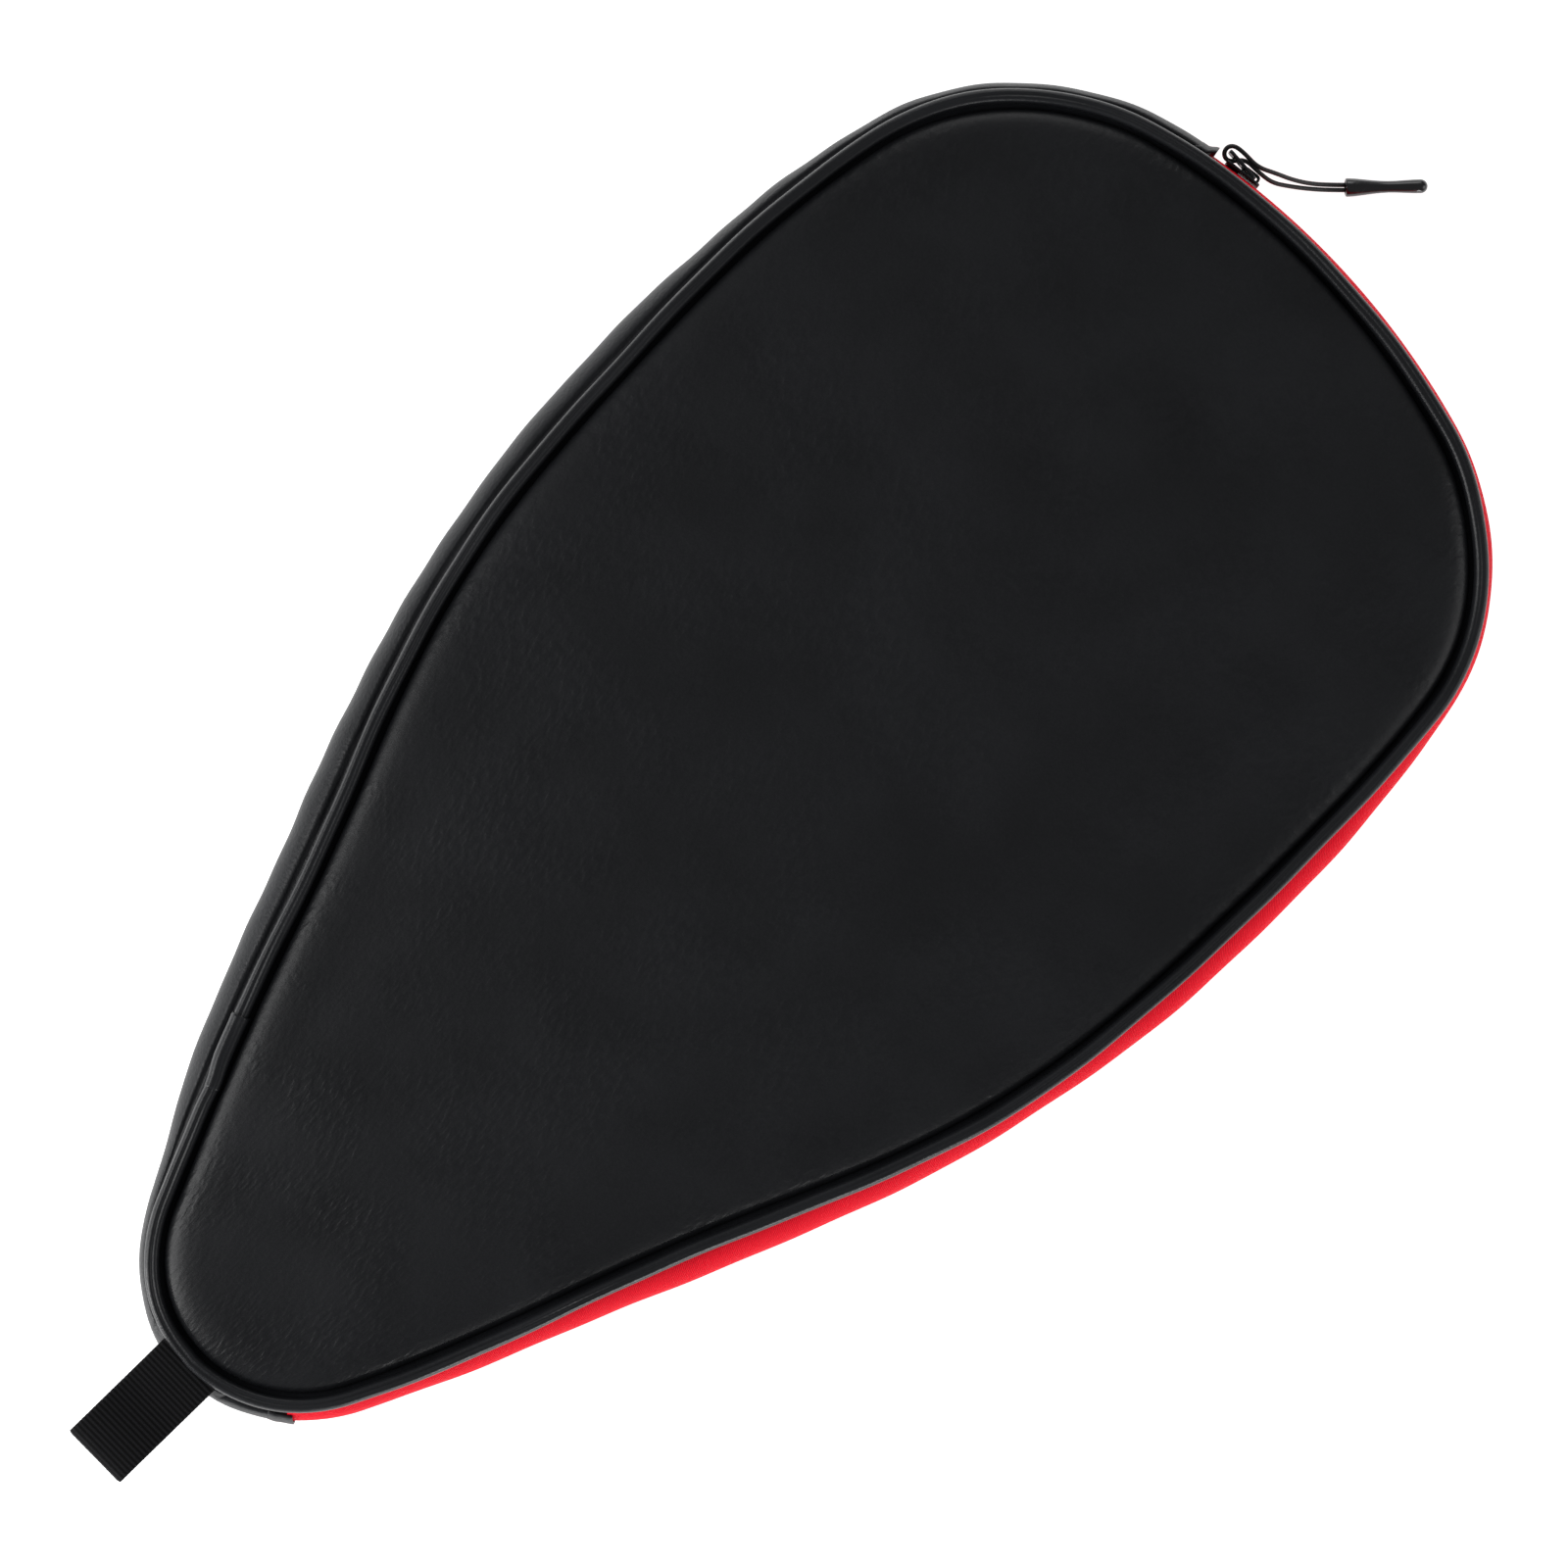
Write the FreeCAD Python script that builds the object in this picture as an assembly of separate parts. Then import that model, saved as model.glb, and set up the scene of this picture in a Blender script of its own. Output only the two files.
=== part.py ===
import FreeCAD, Part
import math
import os

from FreeCAD import Rotation, Vector

# A padded paddle case, lying on its back. Millimetres. +Y runs to the head, +X to the zip side, +Z up out
# of the front. The origin is on the flat of the back, under the middle of the case's length.

# ---- outline: the seam line, from the tail's tip round to the middle of the head; the left half mirrors it
TAIL_RADIUS = 44.7
TAIL_SWEEP = 68.05
FLARE_LENGTH = 155.0
SIDE_RADIUS = 490.0
SIDE_SWEEP = 31.83
SHOULDER_RADIUS = 81.3
SHOULDER_SWEEP = 64.95

# ---- thickness and layers
CASE_THICKNESS = 38.0
SKIN = 1.0
PANEL_FOAM = 4.0
LINING = 0.6
EDGE_ROLL = 5.0              # width of the panel's rounded-over edge
SEAM_ALLOWANCE = 1.0         # how far the sewn lips reach inside the seam line
SEAM_GAP = 0.1
SKIN_EDGE = 1.7              # how far below the seam the skin's edge turns upright
FOAM_INSET = 0.8             # how far the foam stops short of the sewn lips

# ---- piping
PIPING_RADIUS = 2.75
PIPING_CORE_RADIUS = 1.9
PIPING_CORE_PLAY = 0.05
PIPING_LIP = 1.0
PIPING_JOINT_LENGTH = 26.0
PIPING_JOINT_WALL = 0.45
PIPING_JOINT_START = 40.0    # from the flare's tail end

# ---- side wall
GUSSET_BULGE = 11.0          # furthest out from the seam line, at mid height
GUSSET_FOAM = 3.0
WALL_FOOT = 3.0              # how far out from the seam line the wall starts
BINDING_WIDTH = 1.6
BINDING_HEIGHT = 1.8
END_TAB_LENGTH = 7.0
END_TAB_LAP = 1.5
END_TAB_THICKNESS = 1.0
END_TAB_HALF_HEIGHT = 9.0

# ---- zip
ZIP_BULGE = 9.0
ZIP_TAPE = 0.9
ZIP_PARTING = 1.2            # clear slot between the two halves, where the slider's divider runs
COIL_HEIGHT = 2.1
COIL_WIDTH = 2.4
ZIP_TAIL_ARC = 32.2          # along the seam line from the tail's tip to the zip's tail end
ZIP_HEAD_ARC = 49.6          # along the seam line from the head's middle to the zip's head end
STOP_LENGTH = 3.0
STOP_SIZE = 2.0
STOP_GAP = 0.4               # between a stop and the tapes

# ---- fold line that the front opens about
FOLD_HEAD_ARC = 25.7         # from the head's middle
FOLD_TAIL_ARC = 46.0         # from the tail's tip
FOLD_GAP = 0.6

# ---- slider, in its own frame: x along the zip, y outward from the seam line, z up from mid height
SLIDER_PARK_ARC = 37.4
SLIDER_LENGTH = 13.5
SLIDER_NOSE_WIDTH = 10.8
SLIDER_TAIL_WIDTH = 9.4
SLIDER_PLATE = 1.1
SLIDER_CLEARANCE = 0.35
SLIDER_INNER_CLEARANCE = 0.45
COIL_CURVE = 0.3             # what the coils' curve round the head takes of the slider's throat
SLIDER_RIM = 0.8
SLIDER_NOSE_LENGTH = 2.9
SLIDER_NOSE_STEP = 0.5
SLIDER_CORNER = 1.6
SLIDER_RIM_HEIGHT = 1.6
SLIDER_RIM_SETBACK = 2.0     # from each end of the plate
DIVIDER = 0.6
DIVIDER_LENGTH = 5.0
DIVIDER_SETBACK = 0.5
BRIDGE_WIDTH = 2.6
BRIDGE_THICKNESS = 1.1
BRIDGE_GAP = 1.5
BRIDGE_LEG = 1.0
BRIDGE_START = -1.2
BRIDGE_END = 5.9
BRIDGE_CORNER = 0.8

# ---- pull tab, in its own frame: x from the pivot bar to the tip
TAB_PIVOT_X = 3.7
TAB_LENGTH = 12.0
TAB_WIDTH = 7.0
TAB_THICKNESS = 1.2
TAB_BAR = 0.6
TAB_WINDOW_END = 5.4
TAB_WINDOW_WIDTH = 3.5
TAB_HOLE_START = 6.3
TAB_TIP_BAR = 2.3
TAB_HOLE_WIDTH = 3.6
TAB_CORNER = 1.6
TAB_EDGE = 0.1               # flat left between the rounds of the pivot bar
TAB_LIFT = 11.45             # degrees off the zip at rest

# ---- pull cord and its moulded end
CORD_DIAMETER = 1.55
CORD_ROUTE = [
    (-10.31, 289.92, 3.17),
    (-15.97, 283.95, 4.40),
    (-20.90, 279.00, 8.00),
    (-26.00, 275.10, 12.40),
    (-31.00, 272.30, 16.20),
    (-36.90, 268.90, 19.00),
    (-43.00, 268.95, 19.90),
    (-47.31, 268.43, 19.85),
    (-48.88, 266.05, 19.50),
    (-47.59, 263.51, 19.00),
    (-44.75, 263.35, 18.50),
    (-41.71, 267.95, 18.15),
    (-36.20, 268.15, 17.70),
    (-30.00, 269.10, 15.20),
    (-24.90, 273.10, 11.40),
    (-19.70, 277.75, 7.60),
    (-14.73, 282.80, 4.20),
    (-9.06, 288.75, 3.17),
]
CORD_END_MOUTH = (-11.73, 287.23, 3.25)
CORD_END_TIP = (7.25, 307.5, 2.45)
CORD_END_PROFILE = [(0.0, 2.9), (0.5, 3.2), (2.5, 3.15), (8.5, 2.45), (12.5, 1.95), (16.0, 1.95), (20.5, 2.2)]
CORD_END_BULB = 2.4
CORD_END_BORE = 1.95
CORD_END_BORE_DEPTH = 7.5
KNOT_START = 3.0
KNOT_RADIUS = 1.8
KNOT_LENGTH = 4.0
KNOT_ROUND = 0.6

# ---- hang loop
WEBBING_WIDTH = 24.0
WEBBING = 1.4
LOOP_HINGE_OUT = 8.2         # outward from the seam line
LOOP_LENGTH = 43.0           # from the hinge to the fold
LOOP_HALF_DEPTH = 4.6
LOOP_FLAT = 11.0             # the stretch where the two layers lie together
LOOP_DROOP = 8.0
LOOP_END_GAP = 0.3

# ---- worked out from the values above
MID_HEIGHT = CASE_THICKNESS / 2
CROWN_HALF_SWEEP = 180.0 - TAIL_SWEEP - SIDE_SWEEP - SHOULDER_SWEEP
PANEL = SKIN + PANEL_FOAM + LINING
SEAM_HEIGHT = SKIN + PANEL_FOAM + PIPING_LIP
PIPING_HEIGHT = SEAM_HEIGHT - PIPING_RADIUS
HOLE_END = TAB_LENGTH - TAB_TIP_BAR
UP = Vector(0, 0, 1)
FAR = 1000.0


def turned(angle):
    """Unit vector in the plan at an angle in degrees from +X."""
    return Vector(math.cos(math.radians(angle)), math.sin(math.radians(angle)), 0)


# ---------------------------------------------------------------- outline
def half_outline():
    """Arcs and the straight of the right half, as (kind, centre or start, radius or length, normal, sweep)."""
    pieces = []
    point = Vector(0, 0, 0)
    normal = -90.0
    for radius, sweep in ((TAIL_RADIUS, TAIL_SWEEP), (None, FLARE_LENGTH), (SIDE_RADIUS, SIDE_SWEEP),
                          (SHOULDER_RADIUS, SHOULDER_SWEEP)):
        if radius is None:
            pieces.append(("line", point, sweep, normal, 0.0))
            point = point + turned(normal + 90) * sweep
        else:
            centre = point - turned(normal) * radius
            pieces.append(("arc", centre, radius, normal, sweep))
            normal += sweep
            point = centre + turned(normal) * radius
    crown_radius = point.x / math.sin(math.radians(CROWN_HALF_SWEEP))
    centre = point - turned(normal) * crown_radius
    pieces.append(("arc", centre, crown_radius, normal, CROWN_HALF_SWEEP))
    return pieces, centre.y + crown_radius


def whole_outline():
    """The closed seam line, anticlockwise from the tail's tip, with its middle at the origin."""
    half, length = half_outline()
    down = Vector(0, -length / 2, 0)
    right = [(kind, place + down, size, normal, sweep) for kind, place, size, normal, sweep in half]
    left = []
    for kind, place, size, normal, sweep in reversed(right):
        if kind == "arc":
            left.append((kind, Vector(-place.x, place.y, 0), size, 180.0 - normal - sweep, sweep))
        else:
            end = place + turned(normal + 90) * size
            left.append((kind, Vector(-end.x, end.y, 0), size, 180.0 - normal, 0.0))
    return right + left, length


OUTLINE, LENGTH = whole_outline()


def arc_length(piece):
    kind, _, size, _, sweep = piece
    return size * math.radians(sweep) if kind == "arc" else size


AROUND = sum(arc_length(piece) for piece in OUTLINE)
CROWN_CENTRE = OUTLINE[4][1]
CROWN_RADIUS = OUTLINE[4][2]
ZIP_TAIL = ZIP_TAIL_ARC
ZIP_HEAD = AROUND / 2 + ZIP_HEAD_ARC


def seam_point(station):
    """The point of the seam line at a distance along it from the tail's tip, and the outward angle there."""
    for piece in OUTLINE:
        kind, place, size, normal, sweep = piece
        length = arc_length(piece)
        if station <= length:
            if kind == "arc":
                angle = normal + sweep * station / length
                return place + turned(angle) * size, angle
            return place + turned(normal + 90) * station, normal
        station -= length
    return seam_point(0.0)


def slab(outward, low, high):
    """The outline grown by a distance, from one height to another."""
    edges = []
    for kind, place, size, normal, sweep in OUTLINE:
        if kind == "arc":
            radius = size + outward
            ends = [place + turned(normal + sweep * part) * radius for part in (0, 0.5, 1)]
            edges.append(Part.Arc(*ends).toShape())
        else:
            start = place + turned(normal) * outward
            edges.append(Part.LineSegment(start, start + turned(normal + 90) * size).toShape())
    face = Part.Face(Part.Wire(Part.__sortEdges__(edges)))
    face.translate(UP * low)
    return face.extrude(UP * (high - low))


def ring(section, start=0.0, end=None):
    """A section, in x outward and z up, carried round the seam line from one station to another."""
    end = AROUND if end is None else end
    solids = []
    base = 0.0
    for piece in OUTLINE + OUTLINE:
        kind, place, size, normal, sweep = piece
        length = arc_length(piece)
        first, last = max(start, base) - base, min(end, base + length) - base
        if last - first > 1e-6:
            face = section.copy()
            if kind == "arc":
                face.translate(Vector(size, 0, 0))
                face.rotate(Vector(), UP, normal + sweep * first / length)
                face.translate(place)
                solids.append(face.revolve(place, UP, sweep * (last - first) / length))
            else:
                face.rotate(Vector(), UP, normal)
                face.translate(place + turned(normal + 90) * first)
                solids.append(face.extrude(turned(normal + 90) * (last - first)))
        base += length
    whole = solids[0] if len(solids) == 1 else solids[0].multiFuse(solids[1:])
    return whole.removeSplitter()


# ---------------------------------------------------------------- sections, x outward and z up
def polygon(points):
    corners = [Vector(x, 0, z) for x, z in points]
    return Part.Face(Part.makePolygon(corners + corners[:1]))


def rectangle(x0, x1, z0, z1):
    return polygon([(x0, z0), (x1, z0), (x1, z1), (x0, z1)])


def disc(x, z, radius):
    circle = Part.Circle(Vector(x, 0, z), Vector(0, -1, 0), radius)
    return Part.Face(Part.Wire(circle.toShape()))


def joined(first, *others):
    """Solids or faces fused, with the seams between flush faces removed."""
    return first.multiFuse(list(others)).removeSplitter()


def only_face(shape):
    return shape.Faces[0]


def bowed(bulge, outer, inner, low, high, inside=0.5):
    """A band that bows outward round mid height, between two depths below its outer surface."""
    rise = MID_HEIGHT - SEAM_HEIGHT
    sagitta = bulge - WALL_FOOT
    radius = (rise ** 2 + sagitta ** 2) / (2 * sagitta)
    middle = bulge - radius
    band = disc(middle, MID_HEIGHT, radius - outer).cut(disc(middle, MID_HEIGHT, radius - inner))
    return only_face(band.common(rectangle(inside, bulge + END_TAB_THICKNESS + 1, low, high)))


def wall_section(bulge, thickness, low, high):
    """The bowed wall with a lip along each seam that it reaches."""
    parts = [bowed(bulge, 0.0, thickness, low, high)]
    if low <= SEAM_HEIGHT:
        parts.append(rectangle(-SEAM_ALLOWANCE, WALL_FOOT - SEAM_GAP, low, low + thickness))
    if high >= CASE_THICKNESS - SEAM_HEIGHT:
        parts.append(rectangle(-SEAM_ALLOWANCE, WALL_FOOT - SEAM_GAP, high - thickness, high))
    return only_face(joined(*parts))


def piping_section():
    """A round cover with its sewing lip level with the top of the round."""
    lip = rectangle(-SEAM_ALLOWANCE, PIPING_RADIUS, SEAM_HEIGHT - PIPING_LIP, SEAM_HEIGHT)
    round_cover = disc(PIPING_RADIUS, PIPING_HEIGHT, PIPING_RADIUS)
    bore = disc(PIPING_RADIUS, PIPING_HEIGHT, PIPING_CORE_RADIUS + PIPING_CORE_PLAY)
    return only_face(joined(round_cover, lip).cut(bore))


# ---------------------------------------------------------------- panels and piping, made for the back
def panel_skin():
    top = SKIN + PANEL_FOAM
    edge = polygon([(-EDGE_ROLL, 0), (-SEAM_GAP, top - SKIN_EDGE), (-SEAM_GAP, top), (-SEAM_ALLOWANCE, top),
                    (-EDGE_ROLL, SKIN)])
    return joined(slab(-EDGE_ROLL, 0, SKIN), ring(edge))


def panel_foam():
    top = SKIN + PANEL_FOAM
    edge_width = EDGE_ROLL - SEAM_ALLOWANCE
    inset = SEAM_ALLOWANCE + FOAM_INSET
    climb = (EDGE_ROLL - inset) * PANEL_FOAM / edge_width
    edge = polygon([(-EDGE_ROLL, SKIN), (-inset, SKIN + climb), (-inset, top), (-EDGE_ROLL, top)])
    return joined(slab(-EDGE_ROLL, SKIN, top), ring(edge))


def panel_lining():
    return slab(-SEAM_ALLOWANCE, SKIN + PANEL_FOAM, PANEL)


def piping_joint():
    outer = disc(PIPING_RADIUS, PIPING_HEIGHT, PIPING_RADIUS + PIPING_JOINT_WALL)
    sleeve = outer.cut(disc(PIPING_RADIUS, PIPING_HEIGHT, PIPING_RADIUS))
    cut_off = rectangle(SEAM_GAP, FAR, -FAR, SEAM_HEIGHT - PIPING_LIP)
    start = AROUND - TAIL_RADIUS * math.radians(TAIL_SWEEP) - PIPING_JOINT_START - PIPING_JOINT_LENGTH
    return ring(only_face(sleeve.common(cut_off)), start, start + PIPING_JOINT_LENGTH)


def seam_binding():
    inner = -SEAM_ALLOWANCE - BINDING_WIDTH
    return ring(rectangle(inner, -SEAM_ALLOWANCE, PANEL, PANEL + BINDING_HEIGHT))


def mirrored(shape):
    """The front's copy of a piece of the back."""
    return shape.mirror(Vector(0, 0, MID_HEIGHT), UP)


# ---------------------------------------------------------------- the fold
FOLD_HEAD, _ = seam_point(AROUND / 2 + FOLD_HEAD_ARC)
FOLD_TAIL, _ = seam_point(FOLD_TAIL_ARC)
FOLD_LINE = (FOLD_HEAD - FOLD_TAIL).normalize()
FOLD_SIDE = FOLD_LINE.cross(UP)


def side_of_fold(shape, side):
    """The part of a shape on the zip side (side 1) or on the hinge side (side -1) of the fold."""
    block = Part.makeBox(FAR, 2 * FAR, 2 * FAR, Vector(FOLD_GAP / 2, -FAR, -FAR))
    if side < 0:
        block.rotate(Vector(), UP, 180)
    block.rotate(Vector(), UP, math.degrees(math.atan2(FOLD_SIDE.y, FOLD_SIDE.x)))
    block.translate(FOLD_TAIL)
    return shape.common(block)


def stubs(shape):
    """The two short lengths of zip on the hinge side: at the tail and at the head."""
    return sorted(side_of_fold(shape, -1).Solids, key=lambda solid: solid.CenterOfMass.y)


# ---------------------------------------------------------------- side wall and zip
def gusset_layer(outer, inner, low):
    """A layer behind the gusset's skin, between two depths below the skin's outer surface."""
    section = bowed(GUSSET_BULGE, outer, inner, low, CASE_THICKNESS - low, -SEAM_ALLOWANCE)
    return ring(section, ZIP_HEAD, AROUND + ZIP_TAIL)


def gusset_skin():
    section = wall_section(GUSSET_BULGE, SKIN, SEAM_HEIGHT, CASE_THICKNESS - SEAM_HEIGHT)
    return ring(section, ZIP_HEAD, AROUND + ZIP_TAIL)


def zip_tape(front):
    if front:
        section = wall_section(ZIP_BULGE, ZIP_TAPE, MID_HEIGHT + ZIP_PARTING / 2, CASE_THICKNESS - SEAM_HEIGHT)
    else:
        section = wall_section(ZIP_BULGE, ZIP_TAPE, SEAM_HEIGHT, MID_HEIGHT - ZIP_PARTING / 2)
    return ring(section, ZIP_TAIL, ZIP_HEAD)


def zip_coil(front):
    near, far = ZIP_PARTING / 2, ZIP_PARTING / 2 + COIL_WIDTH
    low, high = (MID_HEIGHT + near, MID_HEIGHT + far) if front else (MID_HEIGHT - far, MID_HEIGHT - near)
    section = bowed(ZIP_BULGE, ZIP_TAPE, ZIP_TAPE + COIL_HEIGHT, low, high)
    return ring(section, ZIP_TAIL + STOP_LENGTH, ZIP_HEAD - STOP_LENGTH)


def zip_stop(start):
    """A clip across both coils' ends, against the inside of the tapes."""
    inner = ZIP_BULGE - ZIP_TAPE - STOP_SIZE - STOP_GAP
    section = rectangle(inner, inner + STOP_SIZE, MID_HEIGHT - STOP_SIZE, MID_HEIGHT + STOP_SIZE)
    return ring(section, start, start + STOP_LENGTH)


def end_tab(start):
    section = bowed(GUSSET_BULGE, -END_TAB_THICKNESS, 0.0, MID_HEIGHT - END_TAB_HALF_HEIGHT,
                    MID_HEIGHT + END_TAB_HALF_HEIGHT)
    return ring(section, start, start + END_TAB_LENGTH)


# ---------------------------------------------------------------- slider, tab and pull
SLIDER_ANGLE = math.degrees(SLIDER_PARK_ARC / CROWN_RADIUS)
PLATE_FACE = ZIP_BULGE + SLIDER_CLEARANCE
PLATE_TOP = PLATE_FACE + SLIDER_PLATE
TAB_PIVOT_Y = PLATE_TOP + BRIDGE_GAP / 2


def on_slider(shape):
    """A piece made in the slider's frame, put where the slider is parked."""
    shape.rotate(Vector(), UP, SLIDER_ANGLE)
    shape.translate(CROWN_CENTRE + turned(90 + SLIDER_ANGLE) * CROWN_RADIUS + UP * MID_HEIGHT)
    return shape


def block(x0, x1, y0, y1, z0, z1):
    return Part.makeBox(x1 - x0, y1 - y0, z1 - z0, Vector(x0, y0, z0))


def slider_plate(y0, y1):
    """A plate that narrows from the nose to the tail, with rounded corners."""
    half, nose, tail = SLIDER_LENGTH / 2, SLIDER_NOSE_WIDTH / 2, SLIDER_TAIL_WIDTH / 2
    corners = [(-half, -nose), (half, -tail), (half, tail), (-half, nose)]
    face = Part.Face(Part.makePolygon([Vector(x, y0, z) for x, z in corners + corners[:1]]))
    plate = face.extrude(Vector(0, y1 - y0, 0))
    upright = [edge for edge in plate.Edges if abs(edge.tangentAt(edge.FirstParameter).y) > 0.99]
    return plate.makeFillet(SLIDER_CORNER, upright)


def slider_body():
    inner_face = ZIP_BULGE - ZIP_TAPE - COIL_HEIGHT - SLIDER_INNER_CLEARANCE - COIL_CURVE
    outer = slider_plate(PLATE_FACE, PLATE_TOP)
    nose = block(-FAR, -SLIDER_LENGTH / 2 + SLIDER_NOSE_LENGTH, PLATE_TOP - SLIDER_NOSE_STEP, FAR, -FAR, FAR)
    inner = slider_plate(inner_face - SLIDER_PLATE, inner_face)
    divider_start = -SLIDER_LENGTH / 2 + DIVIDER_SETBACK
    divider = block(divider_start, divider_start + DIVIDER_LENGTH, inner_face, PLATE_FACE,
                    -DIVIDER / 2, DIVIDER / 2)
    rims = []
    rim_length = SLIDER_LENGTH - 2 * SLIDER_RIM_SETBACK
    for side in (-1, 1):
        z0, z1 = sorted((side * SLIDER_TAIL_WIDTH / 2, side * (SLIDER_TAIL_WIDTH / 2 - SLIDER_RIM)))
        rims.append(block(-rim_length / 2, rim_length / 2, inner_face, inner_face + SLIDER_RIM_HEIGHT, z0, z1))
    return on_slider(joined(outer.cut(nose), inner, divider, *rims))


def slider_bridge():
    half = BRIDGE_WIDTH / 2
    arch = block(BRIDGE_START, BRIDGE_END, PLATE_TOP, PLATE_TOP + BRIDGE_GAP + BRIDGE_THICKNESS, -half, half)
    gap = block(BRIDGE_START + BRIDGE_LEG, BRIDGE_END - BRIDGE_LEG, PLATE_TOP, PLATE_TOP + BRIDGE_GAP,
                -half, half)
    arch = arch.cut(gap)
    shoulders = [edge for edge in arch.Edges
                 if abs(edge.BoundBox.YMin - (PLATE_TOP + BRIDGE_GAP + BRIDGE_THICKNESS)) < 1e-6
                 and edge.BoundBox.XLength < 1e-6]
    return on_slider(arch.makeFillet(BRIDGE_CORNER, shoulders))


def pull_tab():
    half, width = TAB_THICKNESS / 2, TAB_WIDTH / 2
    plate = block(-TAB_BAR, TAB_LENGTH, -half, half, -width, width)
    corners = [edge for edge in plate.Edges
               if edge.BoundBox.XMin > TAB_LENGTH - 1e-6 and edge.BoundBox.YLength > half]
    plate = plate.makeFillet(TAB_CORNER, corners)
    bar_edges = [edge for edge in plate.Edges
                 if edge.BoundBox.XMax < -TAB_BAR + 1e-6 and edge.BoundBox.ZLength > width]
    plate = plate.makeFillet(half - TAB_EDGE, bar_edges)
    window = block(TAB_BAR, TAB_WINDOW_END, -half, half, -TAB_WINDOW_WIDTH / 2, TAB_WINDOW_WIDTH / 2)
    hole = block(TAB_HOLE_START, HOLE_END, -half, half, -TAB_HOLE_WIDTH / 2, TAB_HOLE_WIDTH / 2)
    tab = plate.cut(window).cut(hole)
    inner_edges = [edge for edge in tab.Edges
                   if abs(edge.BoundBox.XMin - TAB_BAR) < 1e-6 and edge.BoundBox.XLength < 1e-6
                   and edge.BoundBox.ZLength > TAB_WINDOW_WIDTH / 2]
    tab = tab.makeFillet(half - TAB_EDGE, inner_edges)
    tab.rotate(Vector(), UP, 180 - TAB_LIFT)
    tab.translate(Vector(TAB_PIVOT_X, TAB_PIVOT_Y, 0))
    return on_slider(tab)


RUN_SHARE = 0.45             # of a run, what the arc at each of its ends may take


def cord_path(points):
    """Straight runs joined by tangent arcs, each as large as its two runs allow."""
    corners = [Vector(*point) for point in points]
    edges = []
    radii = []
    here = corners[0]
    for before, corner, after in zip(corners, corners[1:], corners[2:]):
        into, out = corner - before, after - corner
        turn = into.getAngle(out)
        tangent = RUN_SHARE * min(into.Length, out.Length)
        radius = tangent / math.tan(turn / 2)
        into.normalize()
        out.normalize()
        start, end = corner - into * tangent, corner + out * tangent
        to_centre = (out - into).normalize()
        centre = corner + to_centre * (radius / math.cos(turn / 2))
        edges.append(Part.LineSegment(here, start).toShape())
        edges.append(Part.Arc(start, centre - to_centre * radius, end).toShape())
        radii.append(radius)
        here = end
    edges.append(Part.LineSegment(here, corners[-1]).toShape())
    return Part.Wire(edges), radii


def pull_cord():
    path, radii = cord_path(CORD_ROUTE)
    start = Vector(*CORD_ROUTE[0])
    heading = Vector(*CORD_ROUTE[1]) - start
    profile = Part.Wire(Part.Circle(start, heading, CORD_DIAMETER / 2).toShape())
    tube = path.makePipeShell([profile], True, True)
    expected = path.Length * math.pi * CORD_DIAMETER ** 2 / 4
    print("cord length %.1f, tube volume %.2f of %.2f" % (path.Length, tube.Volume, expected))
    print("cord bend radii", " ".join("%.1f" % radius for radius in radii))
    return tube


def along_end(shape):
    """A piece made along +X, put on the moulded end's line."""
    line = Vector(*CORD_END_TIP) - Vector(*CORD_END_MOUTH)
    shape.Placement = FreeCAD.Placement(Vector(*CORD_END_MOUTH), Rotation(Vector(1, 0, 0), line))
    return shape


def cord_end():
    length = (Vector(*CORD_END_TIP) - Vector(*CORD_END_MOUTH)).Length
    bulb_at = length - CORD_END_BULB
    rim = [Vector(x, radius, 0) for x, radius in CORD_END_PROFILE] + [Vector(bulb_at, CORD_END_BULB, 0)]
    nose = Vector(bulb_at + CORD_END_BULB * math.sqrt(0.5), CORD_END_BULB * math.sqrt(0.5), 0)
    tip = Vector(length, 0, 0)
    bore = [Vector(CORD_END_BORE_DEPTH, 0, 0), Vector(CORD_END_BORE_DEPTH, CORD_END_BORE, 0),
            Vector(0, CORD_END_BORE, 0), rim[0]]
    edges = Part.makePolygon(rim).Edges + [Part.Arc(rim[-1], nose, tip).toShape()]
    edges += Part.makePolygon([tip] + bore).Edges
    face = Part.Face(Part.Wire(Part.__sortEdges__(edges)))
    return along_end(face.revolve(Vector(), Vector(1, 0, 0), 360))


def cord_knot():
    knot = Part.makeCylinder(KNOT_RADIUS, KNOT_LENGTH, Vector(KNOT_START, 0, 0), Vector(1, 0, 0))
    ends = [edge for edge in knot.Edges if edge.BoundBox.XLength < 1e-6]
    return along_end(knot.makeFillet(KNOT_ROUND, ends))


# ---------------------------------------------------------------- hang loop
LOOP_HEIGHT = CASE_THICKNESS - SEAM_HEIGHT - WEBBING
LOOP_HINGE = Vector(0, -LENGTH / 2 - LOOP_HINGE_OUT, LOOP_HEIGHT)


def loop_anchor():
    """The two webbing ends sewn in under the front piping at the tail."""
    end = LOOP_HINGE_OUT - WEBBING - LOOP_END_GAP
    start = -SEAM_ALLOWANCE
    half = WEBBING_WIDTH / 2
    return block(-half, half, -LENGTH / 2 - end, -LENGTH / 2 - start, LOOP_HEIGHT - WEBBING,
                 LOOP_HEIGHT + WEBBING)


def loop_notch():
    """What the gusset gives up where the webbing passes over it."""
    half = WEBBING_WIDTH / 2
    reach = WALL_FOOT + GUSSET_BULGE
    return block(-half, half, -LENGTH / 2 - reach, -LENGTH / 2 + reach, LOOP_HEIGHT - WEBBING,
                 CASE_THICKNESS)


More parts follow.
